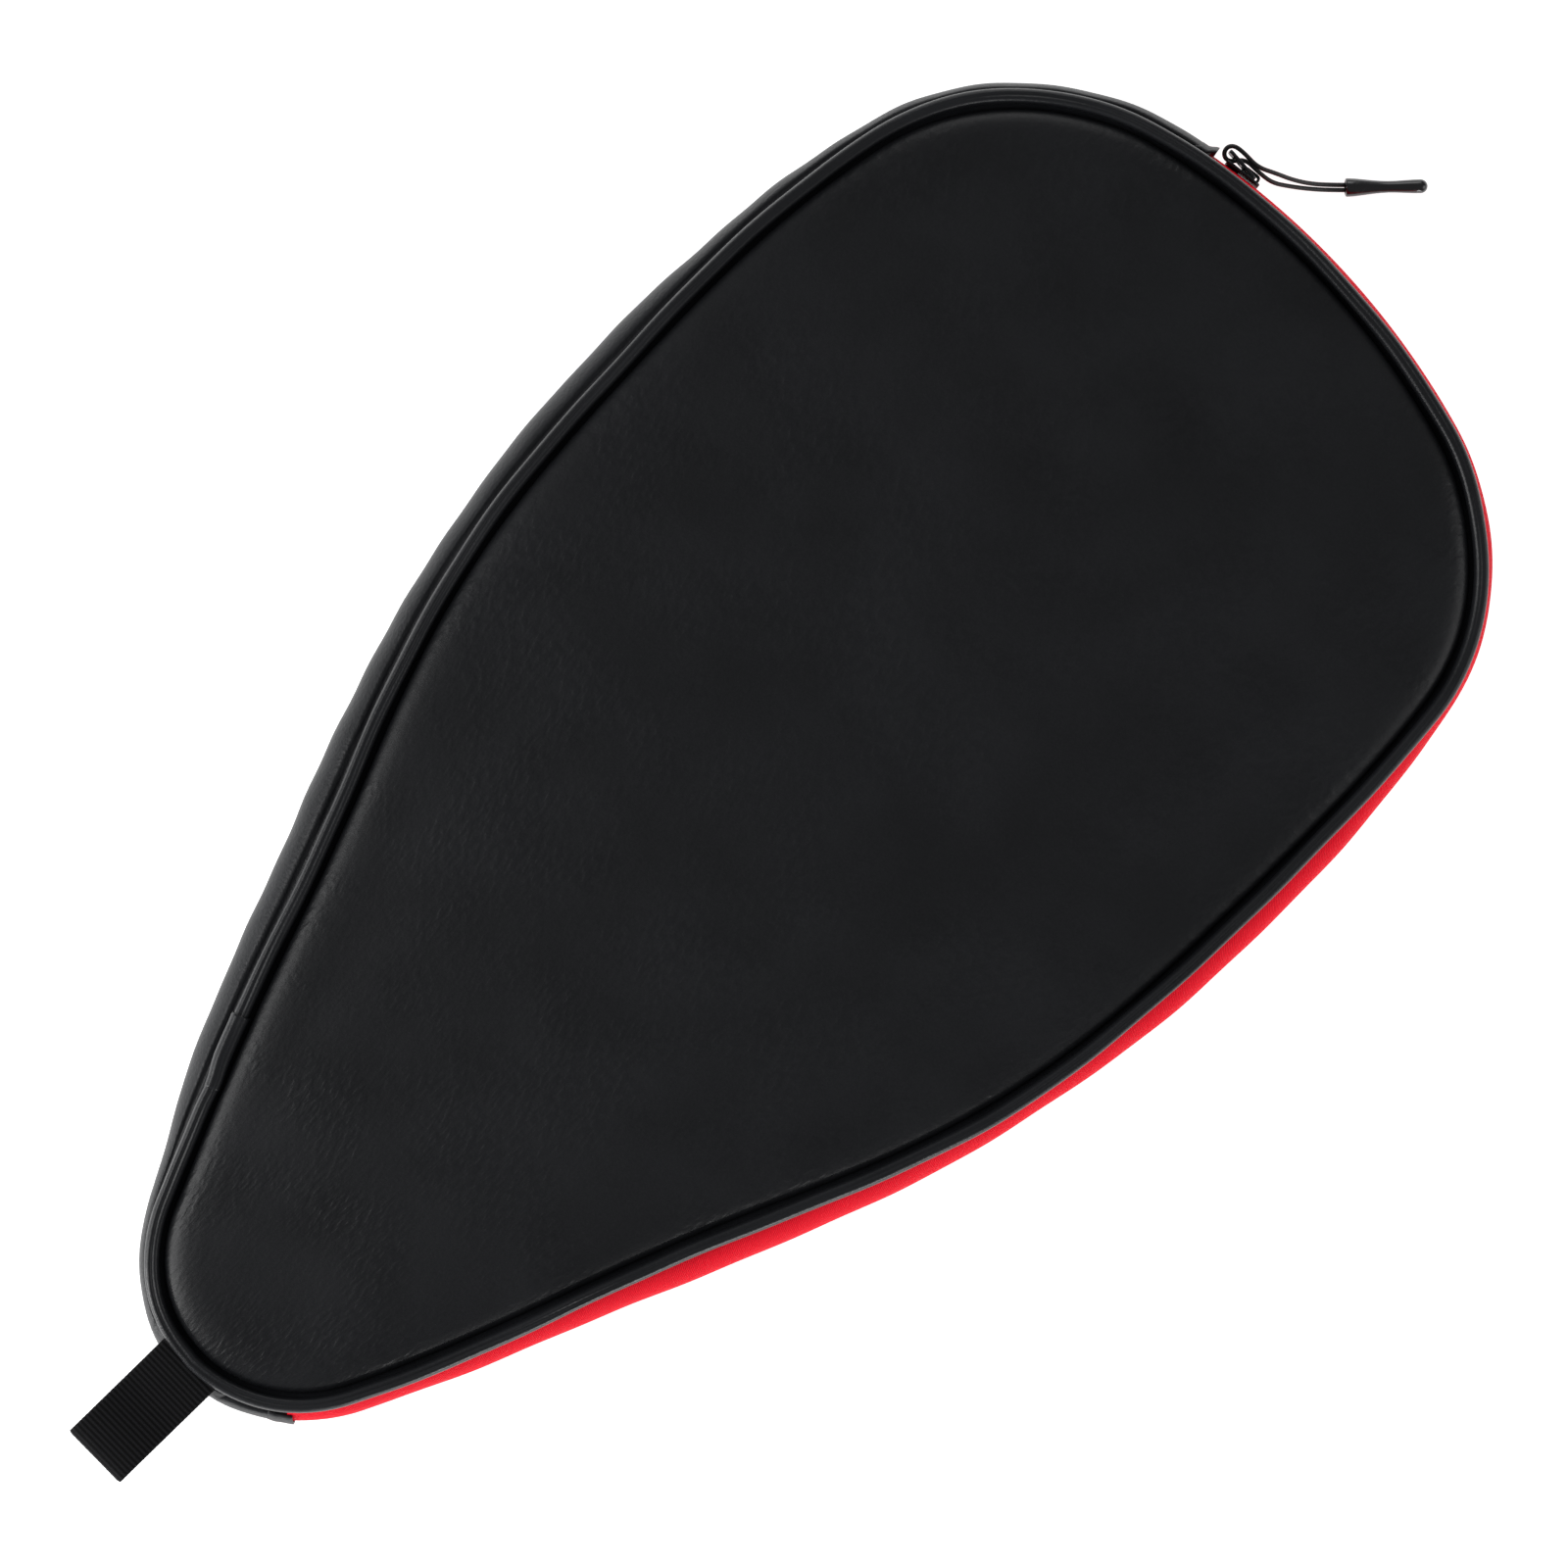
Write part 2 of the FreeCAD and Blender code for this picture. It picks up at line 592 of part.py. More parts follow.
def teardrop(start, half_start, half_end, centre):
    """A face in y and z: a rounded start, straight sides that part, and a round fold at the far end."""
    spread = math.asin((half_end - half_start) / (centre - start))
    across, along = math.cos(spread), math.sin(spread)

    def at(middle, radius, side):
        return Vector(0, -middle + radius * along, side * radius * across)

    near = [at(start, half_start, side) for side in (-1, 1)]
    far = [at(centre, half_end, side) for side in (1, -1)]
    edges = [Part.LineSegment(near[1], far[0]).toShape(), Part.LineSegment(far[1], near[0]).toShape(),
             Part.Arc(far[0], Vector(0, -centre - half_end, 0), far[1]).toShape()]
    if half_start > 0:
        edges.append(Part.Arc(near[0], Vector(0, -start + half_start, 0), near[1]).toShape())
    return Part.Face(Part.Wire(Part.__sortEdges__(edges)))


def hang_loop():
    centre = LOOP_LENGTH - LOOP_HALF_DEPTH
    outer = teardrop(0.0, WEBBING, LOOP_HALF_DEPTH, centre)
    gap = teardrop(LOOP_FLAT, 0.0, LOOP_HALF_DEPTH - WEBBING, centre)
    loop = only_face(outer.cut(gap)).extrude(Vector(WEBBING_WIDTH, 0, 0))
    loop.translate(Vector(-WEBBING_WIDTH / 2, 0, 0))
    loop.rotate(Vector(), Vector(1, 0, 0), LOOP_DROOP)
    loop.translate(LOOP_HINGE)
    return loop


# ---------------------------------------------------------------- assembly
def build():
    nodes = {}
    for name, make in (("skin", panel_skin), ("foam", panel_foam), ("lining", panel_lining),
                       ("piping_cover", lambda: ring(piping_section())),
                       ("piping_cord", lambda: ring(disc(PIPING_RADIUS, PIPING_HEIGHT, PIPING_CORE_RADIUS))),
                       ("seam_binding", seam_binding)):
        back = make()
        front = mirrored(back)
        nodes["back_" + name] = back
        nodes["front_" + name + "_hinge_side"] = side_of_fold(front, -1)
        nodes["front_" + name + "_flap"] = side_of_fold(front, 1)
    nodes["back_piping_joint"] = piping_joint()
    nodes["front_piping_joint"] = mirrored(nodes["back_piping_joint"])

    notch = loop_notch()
    bound_edge = PANEL + BINDING_HEIGHT
    lining_depth = SKIN + GUSSET_FOAM
    nodes["gusset_skin"] = gusset_skin().cut(notch)
    nodes["gusset_foam"] = gusset_layer(SKIN, lining_depth, bound_edge).cut(notch)
    nodes["gusset_lining"] = gusset_layer(lining_depth, lining_depth + LINING, bound_edge).cut(notch)
    nodes["gusset_end_tab_head"] = end_tab(ZIP_HEAD - END_TAB_LAP)
    nodes["gusset_end_tab_tail"] = end_tab(ZIP_TAIL + END_TAB_LAP - END_TAB_LENGTH)

    nodes["zip_tape_back"] = zip_tape(False)
    nodes["zip_coil_back"] = zip_coil(False)
    for name, shape in (("zip_tape_front", zip_tape(True)), ("zip_coil_front", zip_coil(True))):
        nodes[name] = side_of_fold(shape, 1)
        nodes[name + "_tail_end"], nodes[name + "_head_end"] = stubs(shape)
    nodes["zip_stop_tail"] = zip_stop(ZIP_TAIL)
    nodes["zip_stop_head"] = zip_stop(ZIP_HEAD - STOP_LENGTH)

    nodes["slider_body"] = slider_body()
    nodes["slider_bridge"] = slider_bridge()
    nodes["pull_tab"] = pull_tab()
    nodes["pull_cord"] = pull_cord()
    nodes["cord_end"] = cord_end()
    nodes["cord_knot"] = cord_knot()
    nodes["hang_loop_anchor"] = loop_anchor()
    nodes["hang_loop"] = hang_loop()
    return nodes


os.makedirs("parts", exist_ok=True)
for node, shape in build().items():
    shape = shape.Solids[0] if len(shape.Solids) == 1 else Part.makeCompound(shape.Solids)
    shape.exportStep("parts/" + node + ".step")
    print("%-32s solids %d valid %s volume %.0f" % (node, len(shape.Solids), shape.isValid(), shape.Volume))
print("length %.1f, crown radius %.1f, round the seam %.1f" % (LENGTH, CROWN_RADIUS, AROUND))
print("fold head", FOLD_HEAD, "fold tail", FOLD_TAIL, "line", FOLD_LINE)
print("crown centre", CROWN_CENTRE, "slider angle %.3f" % SLIDER_ANGLE, "loop hinge", LOOP_HINGE)
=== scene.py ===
import math

import bmesh
import bpy
import numpy as np
from mathutils import Matrix, Vector, noise


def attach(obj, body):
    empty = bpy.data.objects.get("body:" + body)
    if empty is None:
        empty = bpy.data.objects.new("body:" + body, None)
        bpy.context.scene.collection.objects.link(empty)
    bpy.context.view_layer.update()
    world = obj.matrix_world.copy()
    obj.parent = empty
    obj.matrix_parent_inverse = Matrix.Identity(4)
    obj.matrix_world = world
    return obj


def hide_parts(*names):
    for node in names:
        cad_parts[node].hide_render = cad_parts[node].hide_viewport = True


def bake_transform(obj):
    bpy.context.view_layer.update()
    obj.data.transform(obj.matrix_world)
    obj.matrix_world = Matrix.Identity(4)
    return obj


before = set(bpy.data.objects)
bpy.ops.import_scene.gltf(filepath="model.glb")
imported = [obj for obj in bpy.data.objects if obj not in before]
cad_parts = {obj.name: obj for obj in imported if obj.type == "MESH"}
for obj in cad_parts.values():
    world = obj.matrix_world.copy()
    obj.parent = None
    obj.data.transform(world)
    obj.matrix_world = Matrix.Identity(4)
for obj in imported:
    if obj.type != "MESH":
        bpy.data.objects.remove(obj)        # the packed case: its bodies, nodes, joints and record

bl_info = {
    "name": "Padded paddle case",
    "version": (1, 0, 0),
    "blender": (4, 5, 0),
    "location": "3D View > Sidebar > Paddle case",
    "description": "Makes the visible pieces of a padded paddle case round its packed frame",
    "category": "Object",
}

# Shapes are worked out in millimetres, in the frame's axes, and turned to metres when a mesh is made.
# A station is a distance along the seam line from the tail's tip, anticlockwise seen from the front.
MM = 0.001
TAIL_RADIUS, TAIL_SWEEP = 44.7, 68.05
FLARE_LENGTH = 155.0
SIDE_RADIUS, SIDE_SWEEP = 490.0, 31.83
SHOULDER_RADIUS, SHOULDER_SWEEP = 81.3, 64.95
CASE_THICKNESS = 38.0
MID_HEIGHT = CASE_THICKNESS / 2
SEAM_HEIGHT = 6.0            # of the back's seam; the front's is as far below the front
SKIN = 1.0
LINING = 0.6
LIP = -1.0                   # how far the sewn lips reach inside the seam line
WALL_FOOT = 3.0
PIPING_OUT, PIPING_HEIGHT, PIPING_RADIUS = 3.75, 3.25, 2.75
PIPING_SQUEEZE = 0.9         # of the piping's width to its height
CROWN_CENTRE = Vector((0.0, -6.696))
CROWN_RADIUS = 263.05
ZIP_TAIL, ZIP_HEAD = 32.2, 691.7
TAPE = 0.8
JOINT_START, JOINT_END = 1165.1, 1191.1
HINGE_OUT, LOOP_HEIGHT = 8.2, 30.6
WEBBING_WIDTH = 24.0
SLIDER_ANGLE = math.radians(8.147)
TAB_LIFT = 11.45             # degrees off the zip

# How far the side wall stands out from the seam line at mid height, as (station, distance): close in at the
# head, full down the side, pinched at the tail's corner.
GUSSET_BULGE = ((692, 11.0), (745, 9.0), (850, 12.5), (1000, 15.0), (1170, 16.0), (1245, 9.0), (1284, 11.5),
                (1317, 11.0))
ZIP_BULGE = ((32, 10.5), (90, 12.5), (300, 12.5), (450, 11.0), (570, 9.0), (692, 9.0))

# The sewn seam wavers about its smooth line, as (wavelength, height, station of one crest).
ZIP_SIDE_WAVER = (210.0, 1.6, 290.0)
WALL_SIDE_WAVER = (175.0, 1.0, 825.0)

# The pull cord's route, from its moulded end round the tab's tip bar and back.
CORD_ROUTE = (
    (-10.31, 289.92, 3.17), (-15.97, 283.95, 4.40), (-20.90, 279.00, 8.00),
    (-26.00, 275.10, 12.40), (-31.00, 272.30, 16.20), (-36.90, 268.90, 19.00),
    (-43.00, 268.95, 19.90), (-47.31, 268.43, 19.85), (-48.88, 266.05, 19.50),
    (-47.59, 263.51, 19.00), (-44.75, 263.35, 18.50), (-41.71, 267.95, 18.15),
    (-36.20, 268.15, 17.70), (-30.00, 269.10, 15.20), (-24.90, 273.10, 11.40),
    (-19.70, 277.75, 7.60), (-14.73, 282.80, 4.20), (-9.06, 288.75, 3.17),
)
CORD_LENGTH, CORD_DIAMETER = 105.0, 1.55
CORD_END_MOUTH = Vector((-11.73, 287.23, 3.25))
CORD_END_TIP = Vector((7.25, 307.5, 2.45))


# ---------------------------------------------------------------- what a user would change
class CaseShape(bpy.types.PropertyGroup):
    crown: bpy.props.FloatProperty(
        name="Front crown", description="How far the padded front swells above its edge", default=0.0026,
        min=0.0, max=0.008, unit="LENGTH")
    ripple: bpy.props.FloatProperty(
        name="Panel ripple", description="Height of the soft dents in the front", default=0.00035,
        min=0.0, max=0.002, unit="LENGTH")
    crease: bpy.props.FloatProperty(
        name="Piping crease", description="Depth of the crease along the piping", default=0.00045,
        min=0.0, max=0.001, unit="LENGTH")
    tooth_pitch: bpy.props.FloatProperty(
        name="Tooth pitch", description="From one zip tooth to the next on the same side", default=0.0015,
        min=0.001, max=0.004, unit="LENGTH")
    rib_pitch: bpy.props.FloatProperty(
        name="Webbing ribs", description="From one rib of the hang loop's webbing to the next",
        default=0.00165, min=0.0008, max=0.004, unit="LENGTH")


class CaseFinish(bpy.types.PropertyGroup):
    leather: bpy.props.FloatVectorProperty(
        name="Leather", description="Colour of the artificial leather", default=(0.0085, 0.009, 0.0105),
        size=3, min=0.0, max=1.0, subtype="COLOR")
    tape: bpy.props.FloatVectorProperty(
        name="Zip tape", description="Colour of the zip's woven tape", default=(0.95, 0.003, 0.02),
        size=3, min=0.0, max=1.0, subtype="COLOR")
    webbing: bpy.props.FloatVectorProperty(
        name="Webbing", description="Colour of the hang loop and the pull cord",
        default=(0.005, 0.005, 0.0056), size=3, min=0.0, max=1.0, subtype="COLOR")
    lining: bpy.props.FloatVectorProperty(
        name="Lining", description="Colour of the woven lining", default=(0.045, 0.045, 0.05),
        size=3, min=0.0, max=1.0, subtype="COLOR")
    floor: bpy.props.FloatVectorProperty(
        name="Floor", description="Colour of the floor", default=(0.93, 0.93, 0.93),
        size=3, min=0.0, max=1.0, subtype="COLOR")
    key_light: bpy.props.FloatProperty(
        name="Key light", description="Power of the large soft light", default=9.0, min=0.0, unit="POWER")
    surround: bpy.props.FloatProperty(
        name="Surround", description="Brightness of the white surround", default=0.2, min=0.0)


# ---------------------------------------------------------------- the seam line
def outline():
    """The closed seam line as (x, y, size, normal angle, sweep, length), an arc's centre or a run's start."""
    right, x, y, normal = [], 0.0, 0.0, -90.0
    crown_sweep = 180 - TAIL_SWEEP - SIDE_SWEEP - SHOULDER_SWEEP
    for size, sweep in ((TAIL_RADIUS, TAIL_SWEEP), (FLARE_LENGTH, 0.0), (SIDE_RADIUS, SIDE_SWEEP),
                        (SHOULDER_RADIUS, SHOULDER_SWEEP), (None, crown_sweep)):
        out = math.radians(normal)
        if size is None:
            size = x / math.sin(math.radians(sweep))
        if sweep:
            cx, cy = x - size * math.cos(out), y - size * math.sin(out)
            right.append([cx, cy, size, normal, sweep, size * math.radians(sweep)])
            normal += sweep
            out = math.radians(normal)
            x, y = cx + size * math.cos(out), cy + size * math.sin(out)
        else:
            right.append([x, y, size, normal, sweep, size])
            x, y = x - size * math.sin(out), y + size * math.cos(out)
    left = []
    for cx, cy, size, normal, sweep, length in reversed(right):
        if sweep:
            left.append([-cx, cy, size, 180 - normal - sweep, sweep, length])
        else:
            out = math.radians(normal)
            start = -(cx - size * math.sin(out)), cy + size * math.cos(out)
            left.append([*start, size, 180 - normal, 0.0, length])
    for piece in right + left:
        piece[1] -= y / 2
    return right + left, y


OUTLINE, CASE_LENGTH = outline()
AROUND = sum(piece[5] for piece in OUTLINE)


def seam(stations, stray=1.0):
    """Points of the seam line, with its stray, and the outward directions there."""
    wrapped = np.mod(np.asarray(stations, float), AROUND)
    place, outward = np.zeros((len(wrapped), 2)), np.zeros((len(wrapped), 2))
    base = 0.0
    for x, y, size, normal, sweep, length in OUTLINE:
        here = (wrapped >= base - 1e-9) & (wrapped <= base + length + 1e-9)
        along = wrapped[here] - base
        angle = np.radians(normal + sweep * along / length)
        out = np.c_[np.cos(angle), np.sin(angle)]
        if sweep:
            place[here] = (x, y) + out * size
        else:
            place[here] = (x, y) + np.c_[-out[:, 1], out[:, 0]] * along[:, None]
        outward[here] = out
        base += length
    drift = stray * np.array([seam_waver(station) for station in wrapped])
    return place + outward * drift[:, None], outward


def eased(table, value):
    """A smooth value between the entries of a short (place, value) table."""
    value = min(max(value, table[0][0]), table[-1][0])
    for (x0, y0), (x1, y1) in zip(table, table[1:]):
        if value <= x1:
            t = (value - x0) / (x1 - x0)
            return y0 + (y1 - y0) * t * t * (3 - 2 * t)
    return table[-1][1]


def step(value, low, high):
    """0 below low, 1 above high, smooth between."""
    t = min(max((value - low) / (high - low), 0.0), 1.0)
    return t * t * (3 - 2 * t)


def wander(station, seed, *waves):
    """A gentle repeatable waver along the seam, as a sum of (wavelength, height) waves."""
    return sum(height * math.sin(station * 2 * math.pi / length + seed * (i + 1.7))
               for i, (length, height) in enumerate(waves))


def seam_waver(station):
    """How far the sewn seam is out from its smooth line, with none at the tail's tip or by the slider."""
    zip_side = step(station, 20, 70) * (1 - step(station, 500, 555))
    wall_side = step(station, 695, 740) * (1 - step(station, 1220, 1270))
    waves = (zip_side, ZIP_SIDE_WAVER), (wall_side, WALL_SIDE_WAVER)
    return sum(share * height * math.cos(2 * math.pi * (station - crest) / length)
               for share, (length, height, crest) in waves)


def gusset_bulge(station):
    drift = seam_waver(station % AROUND)
    return eased(GUSSET_BULGE, station) - drift + wander(station, 2.0, (61.0, 0.16), (23.0, 0.1))


def zip_bulge(station):
    free = 1 - step(station, 540, 572)
    drift = seam_waver(station)
    return eased(ZIP_BULGE, station) - drift + free * wander(station, 4.0, (83.0, 0.2), (37.0, 0.12))


# ---------------------------------------------------------------- meshes
def new_piece(name, verts, faces, uv=None, merge=0.0, outward=True):
    """A mesh object at the origin from millimetre points, closed ones with their faces turned outward."""
    mesh = bpy.data.meshes.new(name)
    mesh.from_pydata((np.asarray(verts, float) * MM).tolist(), [], faces)
    if uv is not None:
        layer = mesh.uv_layers.new(name="UVMap")
        layer.data.foreach_set("uv", np.asarray(uv, np.float32).ravel())
    work = bmesh.new()
    work.from_mesh(mesh)
    if merge:
        bmesh.ops.remove_doubles(work, verts=work.verts, dist=merge * MM)
    if outward:
        bmesh.ops.recalc_face_normals(work, faces=work.faces)
    work.to_mesh(mesh)
    work.free()
    mesh.shade_smooth()
    piece = bpy.data.objects.new(name, mesh)
    bpy.context.scene.collection.objects.link(piece)
    return piece


def strip(name, rows, closed=False, marks=None, round_section=True, caps=True):
    """A skin over rows of points, joined end to end if closed. UVs are marks along and millimetres across."""
    rows = np.asarray(rows, float)
    count, width = rows.shape[:2]
    marks = np.arange(count + 1.0) if marks is None else np.asarray(marks, float)
    around = np.r_[rows[0], rows[0, :1]] if round_section else rows[0]
    across = np.r_[0.0, np.cumsum(np.linalg.norm(np.diff(around, axis=0), axis=1))]
    faces, uv = [], []
    for i in range(count if closed else count - 1):
        k = (i + 1) % count
        for j in range(width if round_section else width - 1):
            n = (j + 1) % width
            faces.append((i * width + j, k * width + j, k * width + n, i * width + n))
            u0, u1 = marks[i], marks[i + 1]
            uv += [(u0, across[j]), (u1, across[j]), (u1, across[j + 1]), (u0, across[j + 1])]
    if not closed and caps and round_section:
        for base in (0, (count - 1) * width):
            ring = list(range(base, base + width))
            faces.append(tuple(ring if base == 0 else reversed(ring)))
            uv += [(marks[0], 0.0)] * width
    return new_piece(name, rows.reshape(-1, 3), faces, uv)


def sweep(name, section, start, end, spacing=2.6, closed=False):
    """A closed section, in distances outward and heights, carried along the seam line."""
    count = round((end - start) / spacing)
    marks = np.linspace(start, end, count + 1)
    stations = marks[:-1] if closed else marks
    place, outward = seam(stations)
    rows = []
    for station, point, out in zip(stations, place, outward):
        shape = np.asarray(section(station), float)
        rows.append(np.c_[point + out * shape[:, :1], shape[:, 1]])
    return strip(name, rows, closed, marks)


def settle(piece, name=None):
    """The piece with its modifiers worked into a plain mesh."""
    graph = bpy.context.evaluated_depsgraph_get()
    mesh = bpy.data.meshes.new_from_object(piece.evaluated_get(graph), depsgraph=graph)
    name = name or piece.name
    old = piece.data
    if piece.type == "MESH":
        piece.modifiers.clear()
        piece.data = mesh
        made = piece
    else:
        made = bpy.data.objects.new(name, mesh)
        bpy.context.scene.collection.objects.link(made)
        bpy.data.objects.remove(piece)
    if old.users == 0 and isinstance(old, bpy.types.Mesh):
        bpy.data.meshes.remove(old)
    made.name = made.data.name = name
    return made


def drop(piece):
    """Takes a working object away."""
    bpy.data.objects.remove(piece)


def placed(piece, matrix):
    """The piece with a placement worked into its mesh."""
    piece.data.transform(matrix)
    piece.data.update()
    return piece


def finish_piece(piece, material, body=None, replaces=(), fold=False):
    """Gives a piece its material, slot, replaced nodes and body, or the bend across the front's fold."""
    if material is not None:
        piece.data.materials.clear()
        piece.data.materials.append(material)
    if replaces:
        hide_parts(*replaces)
    if fold:
        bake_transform(piece)
    else:
        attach(piece, body)
    return piece


def halves(name):
    """The front's two CAD nodes of a kind, one each side of the fold."""
    return ["front_" + name + "_hinge_side", "front_" + name + "_flap"]


def front_side(section):
    """A section made for the back, turned over for the front."""
    def turned(station):
        shape = np.asarray(section(station), float)
        return np.c_[shape[:, 0], CASE_THICKNESS - shape[:, 1]]
    return turned


# ---------------------------------------------------------------- shader sums
class Sum:
    """A shader value that takes part in Python sums."""

    def __init__(self, finish, socket):
        self.finish, self.socket = finish, socket

    def math(self, operation, *values):
        return self.finish.node("ShaderNodeMath", {"operation": operation}, *values)

    def __add__(self, other):
        return self.math("ADD", self, other)

    def __sub__(self, other):
        return self.math("SUBTRACT", self, other)

    def __rsub__(self, other):
        return self.math("SUBTRACT", other, self)

    def __mul__(self, other):
        return self.math("MULTIPLY", self, other)

    def __truediv__(self, other):
        return self.math("DIVIDE", self, other)

    __radd__ = __add__
    __rmul__ = __mul__

    def wave(self):
        """A sine of turns, from 0 to 1."""
        return self.math("SINE", self * (2 * math.pi)) * 0.5 + 0.5

    def size(self):
        return self.math("ABSOLUTE", self)

    def clear(self, low, high):
        """0 below low, 1 above high."""
        return self.finish.node("ShaderNodeMapRange", {"interpolation_type": "SMOOTHSTEP"}, self, low, high)


class Finish:
    """One material: a Principled shader with constants on its sockets and sums behind a few of them."""

    def __init__(self, name, **sockets):
        self.material = bpy.data.materials.new(name)
        self.material.use_nodes = True
        self.tree = self.material.node_tree
        self.shader = self.tree.nodes["Principled BSDF"]
        for key, value in sockets.items():
            self.shader.inputs[key.replace("_", " ")].default_value = value

    def node(self, kind, settings=None, *values, output=0, **named):
        made = self.tree.nodes.new(kind)
        for key, value in (settings or {}).items():
            if key == "stops":
                ramp = made.color_ramp
                for i, (place, colour) in enumerate(value):
                    stop = ramp.elements[i] if i < 2 else ramp.elements.new(place)
                    stop.position, stop.color = place, (*colour, 1.0)
            else:
                setattr(made, key, value)
        for key, value in [*enumerate(values), *((k.replace("_", " "), v) for k, v in named.items())]:
            if value is None:
                continue
            if isinstance(value, Sum):
                self.tree.links.new(value.socket, made.inputs[key])
            else:
                made.inputs[key].default_value = value
        return Sum(self, made.outputs[output])

    def place(self, scale=(1.0, 1.0, 1.0), uv=False):
        """Object coordinates, or the UV map, in millimetres and scaled."""
        point = self.node("ShaderNodeTexCoord", output="UV" if uv else "Object")
        return self.node("ShaderNodeMapping", {"vector_type": "POINT"}, Vector=point,
                         Scale=tuple(s * (1.0 if uv else 1 / MM) for s in scale))

    def parts(self, vector):
        split = self.tree.nodes.new("ShaderNodeSeparateXYZ")
        self.tree.links.new(vector.socket, split.inputs[0])
        return [Sum(self, out) for out in split.outputs]

    def grain(self, where, scale, detail=3.0, rough=0.6):
        return self.node("ShaderNodeTexNoise", {}, Vector=where, Scale=scale, Detail=detail, Roughness=rough)

    def cells(self, where, scale, feature="F1", output=0):
        return self.node("ShaderNodeTexVoronoi", {"feature": feature}, Vector=where, Scale=scale,
                         output=output)

    def mix(self, share, first, second):
        """A colour between two, by a share."""
        made = self.tree.nodes.new("ShaderNodeMix")
        made.data_type = "RGBA"
        for index, value in ((0, share), (6, first), (7, second)):
            if isinstance(value, Sum):
                self.tree.links.new(value.socket, made.inputs[index])
            else:
                made.inputs[index].default_value = (*value, 1.0) if index else value
        return Sum(self, made.outputs[2])

    def feed(self, socket, value):
        self.tree.links.new(value.socket, self.shader.inputs[socket])
        return self

    def bump(self, height, depth, strength=1.0):
        """Feeds a height from 0 to 1 to the normal, depth in millimetres."""
        return self.feed("Normal", self.node("ShaderNodeBump", {}, Strength=strength,
                                             Distance=depth * MM, Height=height))


def tinted(colour, factor):
    return tuple(min(c * factor, 1.0) for c in colour)


def leather(name, colour, cell, depth, rough, wrinkled=0.0, coat=0.0):
    """Artificial leather: pebbles and pores, soft wrinkles that fan out from the tail, and a satin gloss."""
    made = Finish(name, Specular_IOR_Level=0.32, Coat_Weight=coat, Coat_Roughness=0.25)
    where = made.place()
    patches = made.grain(where, 0.022, 2.0)
    pores = made.grain(where, 1.1 / cell, 3.0, 0.6)
    pebbles = made.cells(where, 0.8 / cell, "SMOOTH_F1")
    height = pores * 0.6 + (1 - pebbles) * 0.4
    shade = patches * 0.75 + pores * 0.25
    tone = made.mix(shade.clear(0.3, 0.7), tinted(colour, 0.82), tinted(colour, 1.2))
    gloss = rough + 0.12 * (patches - 0.5) + 0.16 * (pores - 0.5)
    if wrinkled:
        x, y, _ = made.parts(where)
        fan = made.node("ShaderNodeCombineXYZ", {}, x / (y + 650.0) * 650.0, y * 0.55, 0.0)
        folds = made.grain(fan, 0.42, 1.5, 0.4)
        soft = made.grain(where, 0.025, 2.0).clear(0.4, 0.62)
        crests = folds.clear(0.35, 0.65) * (0.25 + 0.75 * soft)
        height = height * 0.5 + crests * wrinkled
        gloss = gloss - 0.05 * crests
    made.feed("Base Color", tone).feed("Roughness", gloss)
    return made.bump(height, depth).material


def woven(name, colour, thread, depth, rough=0.85, uv=False, sheen=0.2):
    """Plain weave: threads over and under each other."""
    made = Finish(name, Sheen_Weight=sheen, Sheen_Roughness=0.4)
    x, y, _ = made.parts(made.place(uv=uv))
    over = (x * (0.5 / thread)).wave()
    under = (y * (0.5 / thread)).wave()
    threads = over * (1 - under) + under * (1 - over)
    fuzz = made.grain(made.place(), 1.2, 3.0)
    made.feed("Base Color", made.mix(threads * 0.7 + fuzz * 0.3, tinted(colour, 0.6), tinted(colour, 1.25)))
    made.feed("Roughness", rough - 0.12 * threads)
    return made.bump(threads + fuzz * 0.3, depth).material


def twilled(name, colour):
    """Zip tape: fine diagonal ribs, on a slightly fuzzy thread."""
    made = Finish(name, Specular_IOR_Level=0.08, Sheen_Weight=0.03, Sheen_Roughness=0.35,
                  Sheen_Tint=(1.0, 0.3, 0.4, 1.0))
    along, across, _ = made.parts(made.place(uv=True))
    ribs = ((along + across * 0.8) / 0.8).wave()
    yarn = ((along - across * 1.3) / 0.36).wave()
    fuzz = made.grain(made.place(), 1.6, 3.0)
    height = ribs * 0.7 + yarn * 0.2 + fuzz * 0.15
    shade = made.mix(ribs * 0.6 + fuzz * 0.4, tinted(colour, 0.7), tinted(colour, 1.1))
    made.feed("Base Color", shade).feed("Roughness", 0.7 - 0.15 * ribs)
    return made.bump(height, 0.12).material


def webbing_finish(name, colour, pitch):
    """Ribbed webbing: short threads that lie along each rib, dark in the gaps between ribs."""
    made = Finish(name, Specular_IOR_Level=0.12)
    along, across, _ = made.parts(made.place(uv=True))
    ribs = (along / pitch + 0.25).wave()
    threads = ((across / 0.62) + (along / pitch).size() * 0.5).wave()
    fuzz = made.grain(made.place(), 1.8, 3.0)
    raised = ribs.clear(0.25, 0.75)
    # Painted shade in the gaps between ribs and a painted highlight on the raised ribs, varied by the threads
    # and fuzz.
    shade = raised * (0.45 + 0.3 * threads + 0.4 * fuzz)
    made.feed("Base Color", made.mix(shade, tinted(colour, 0.3), tinted(colour, 1.9)))
    made.feed("Roughness", 0.75 + 0.15 * fuzz)
    return made.bump(raised * threads * 0.6 + fuzz * 0.3, 0.1).material


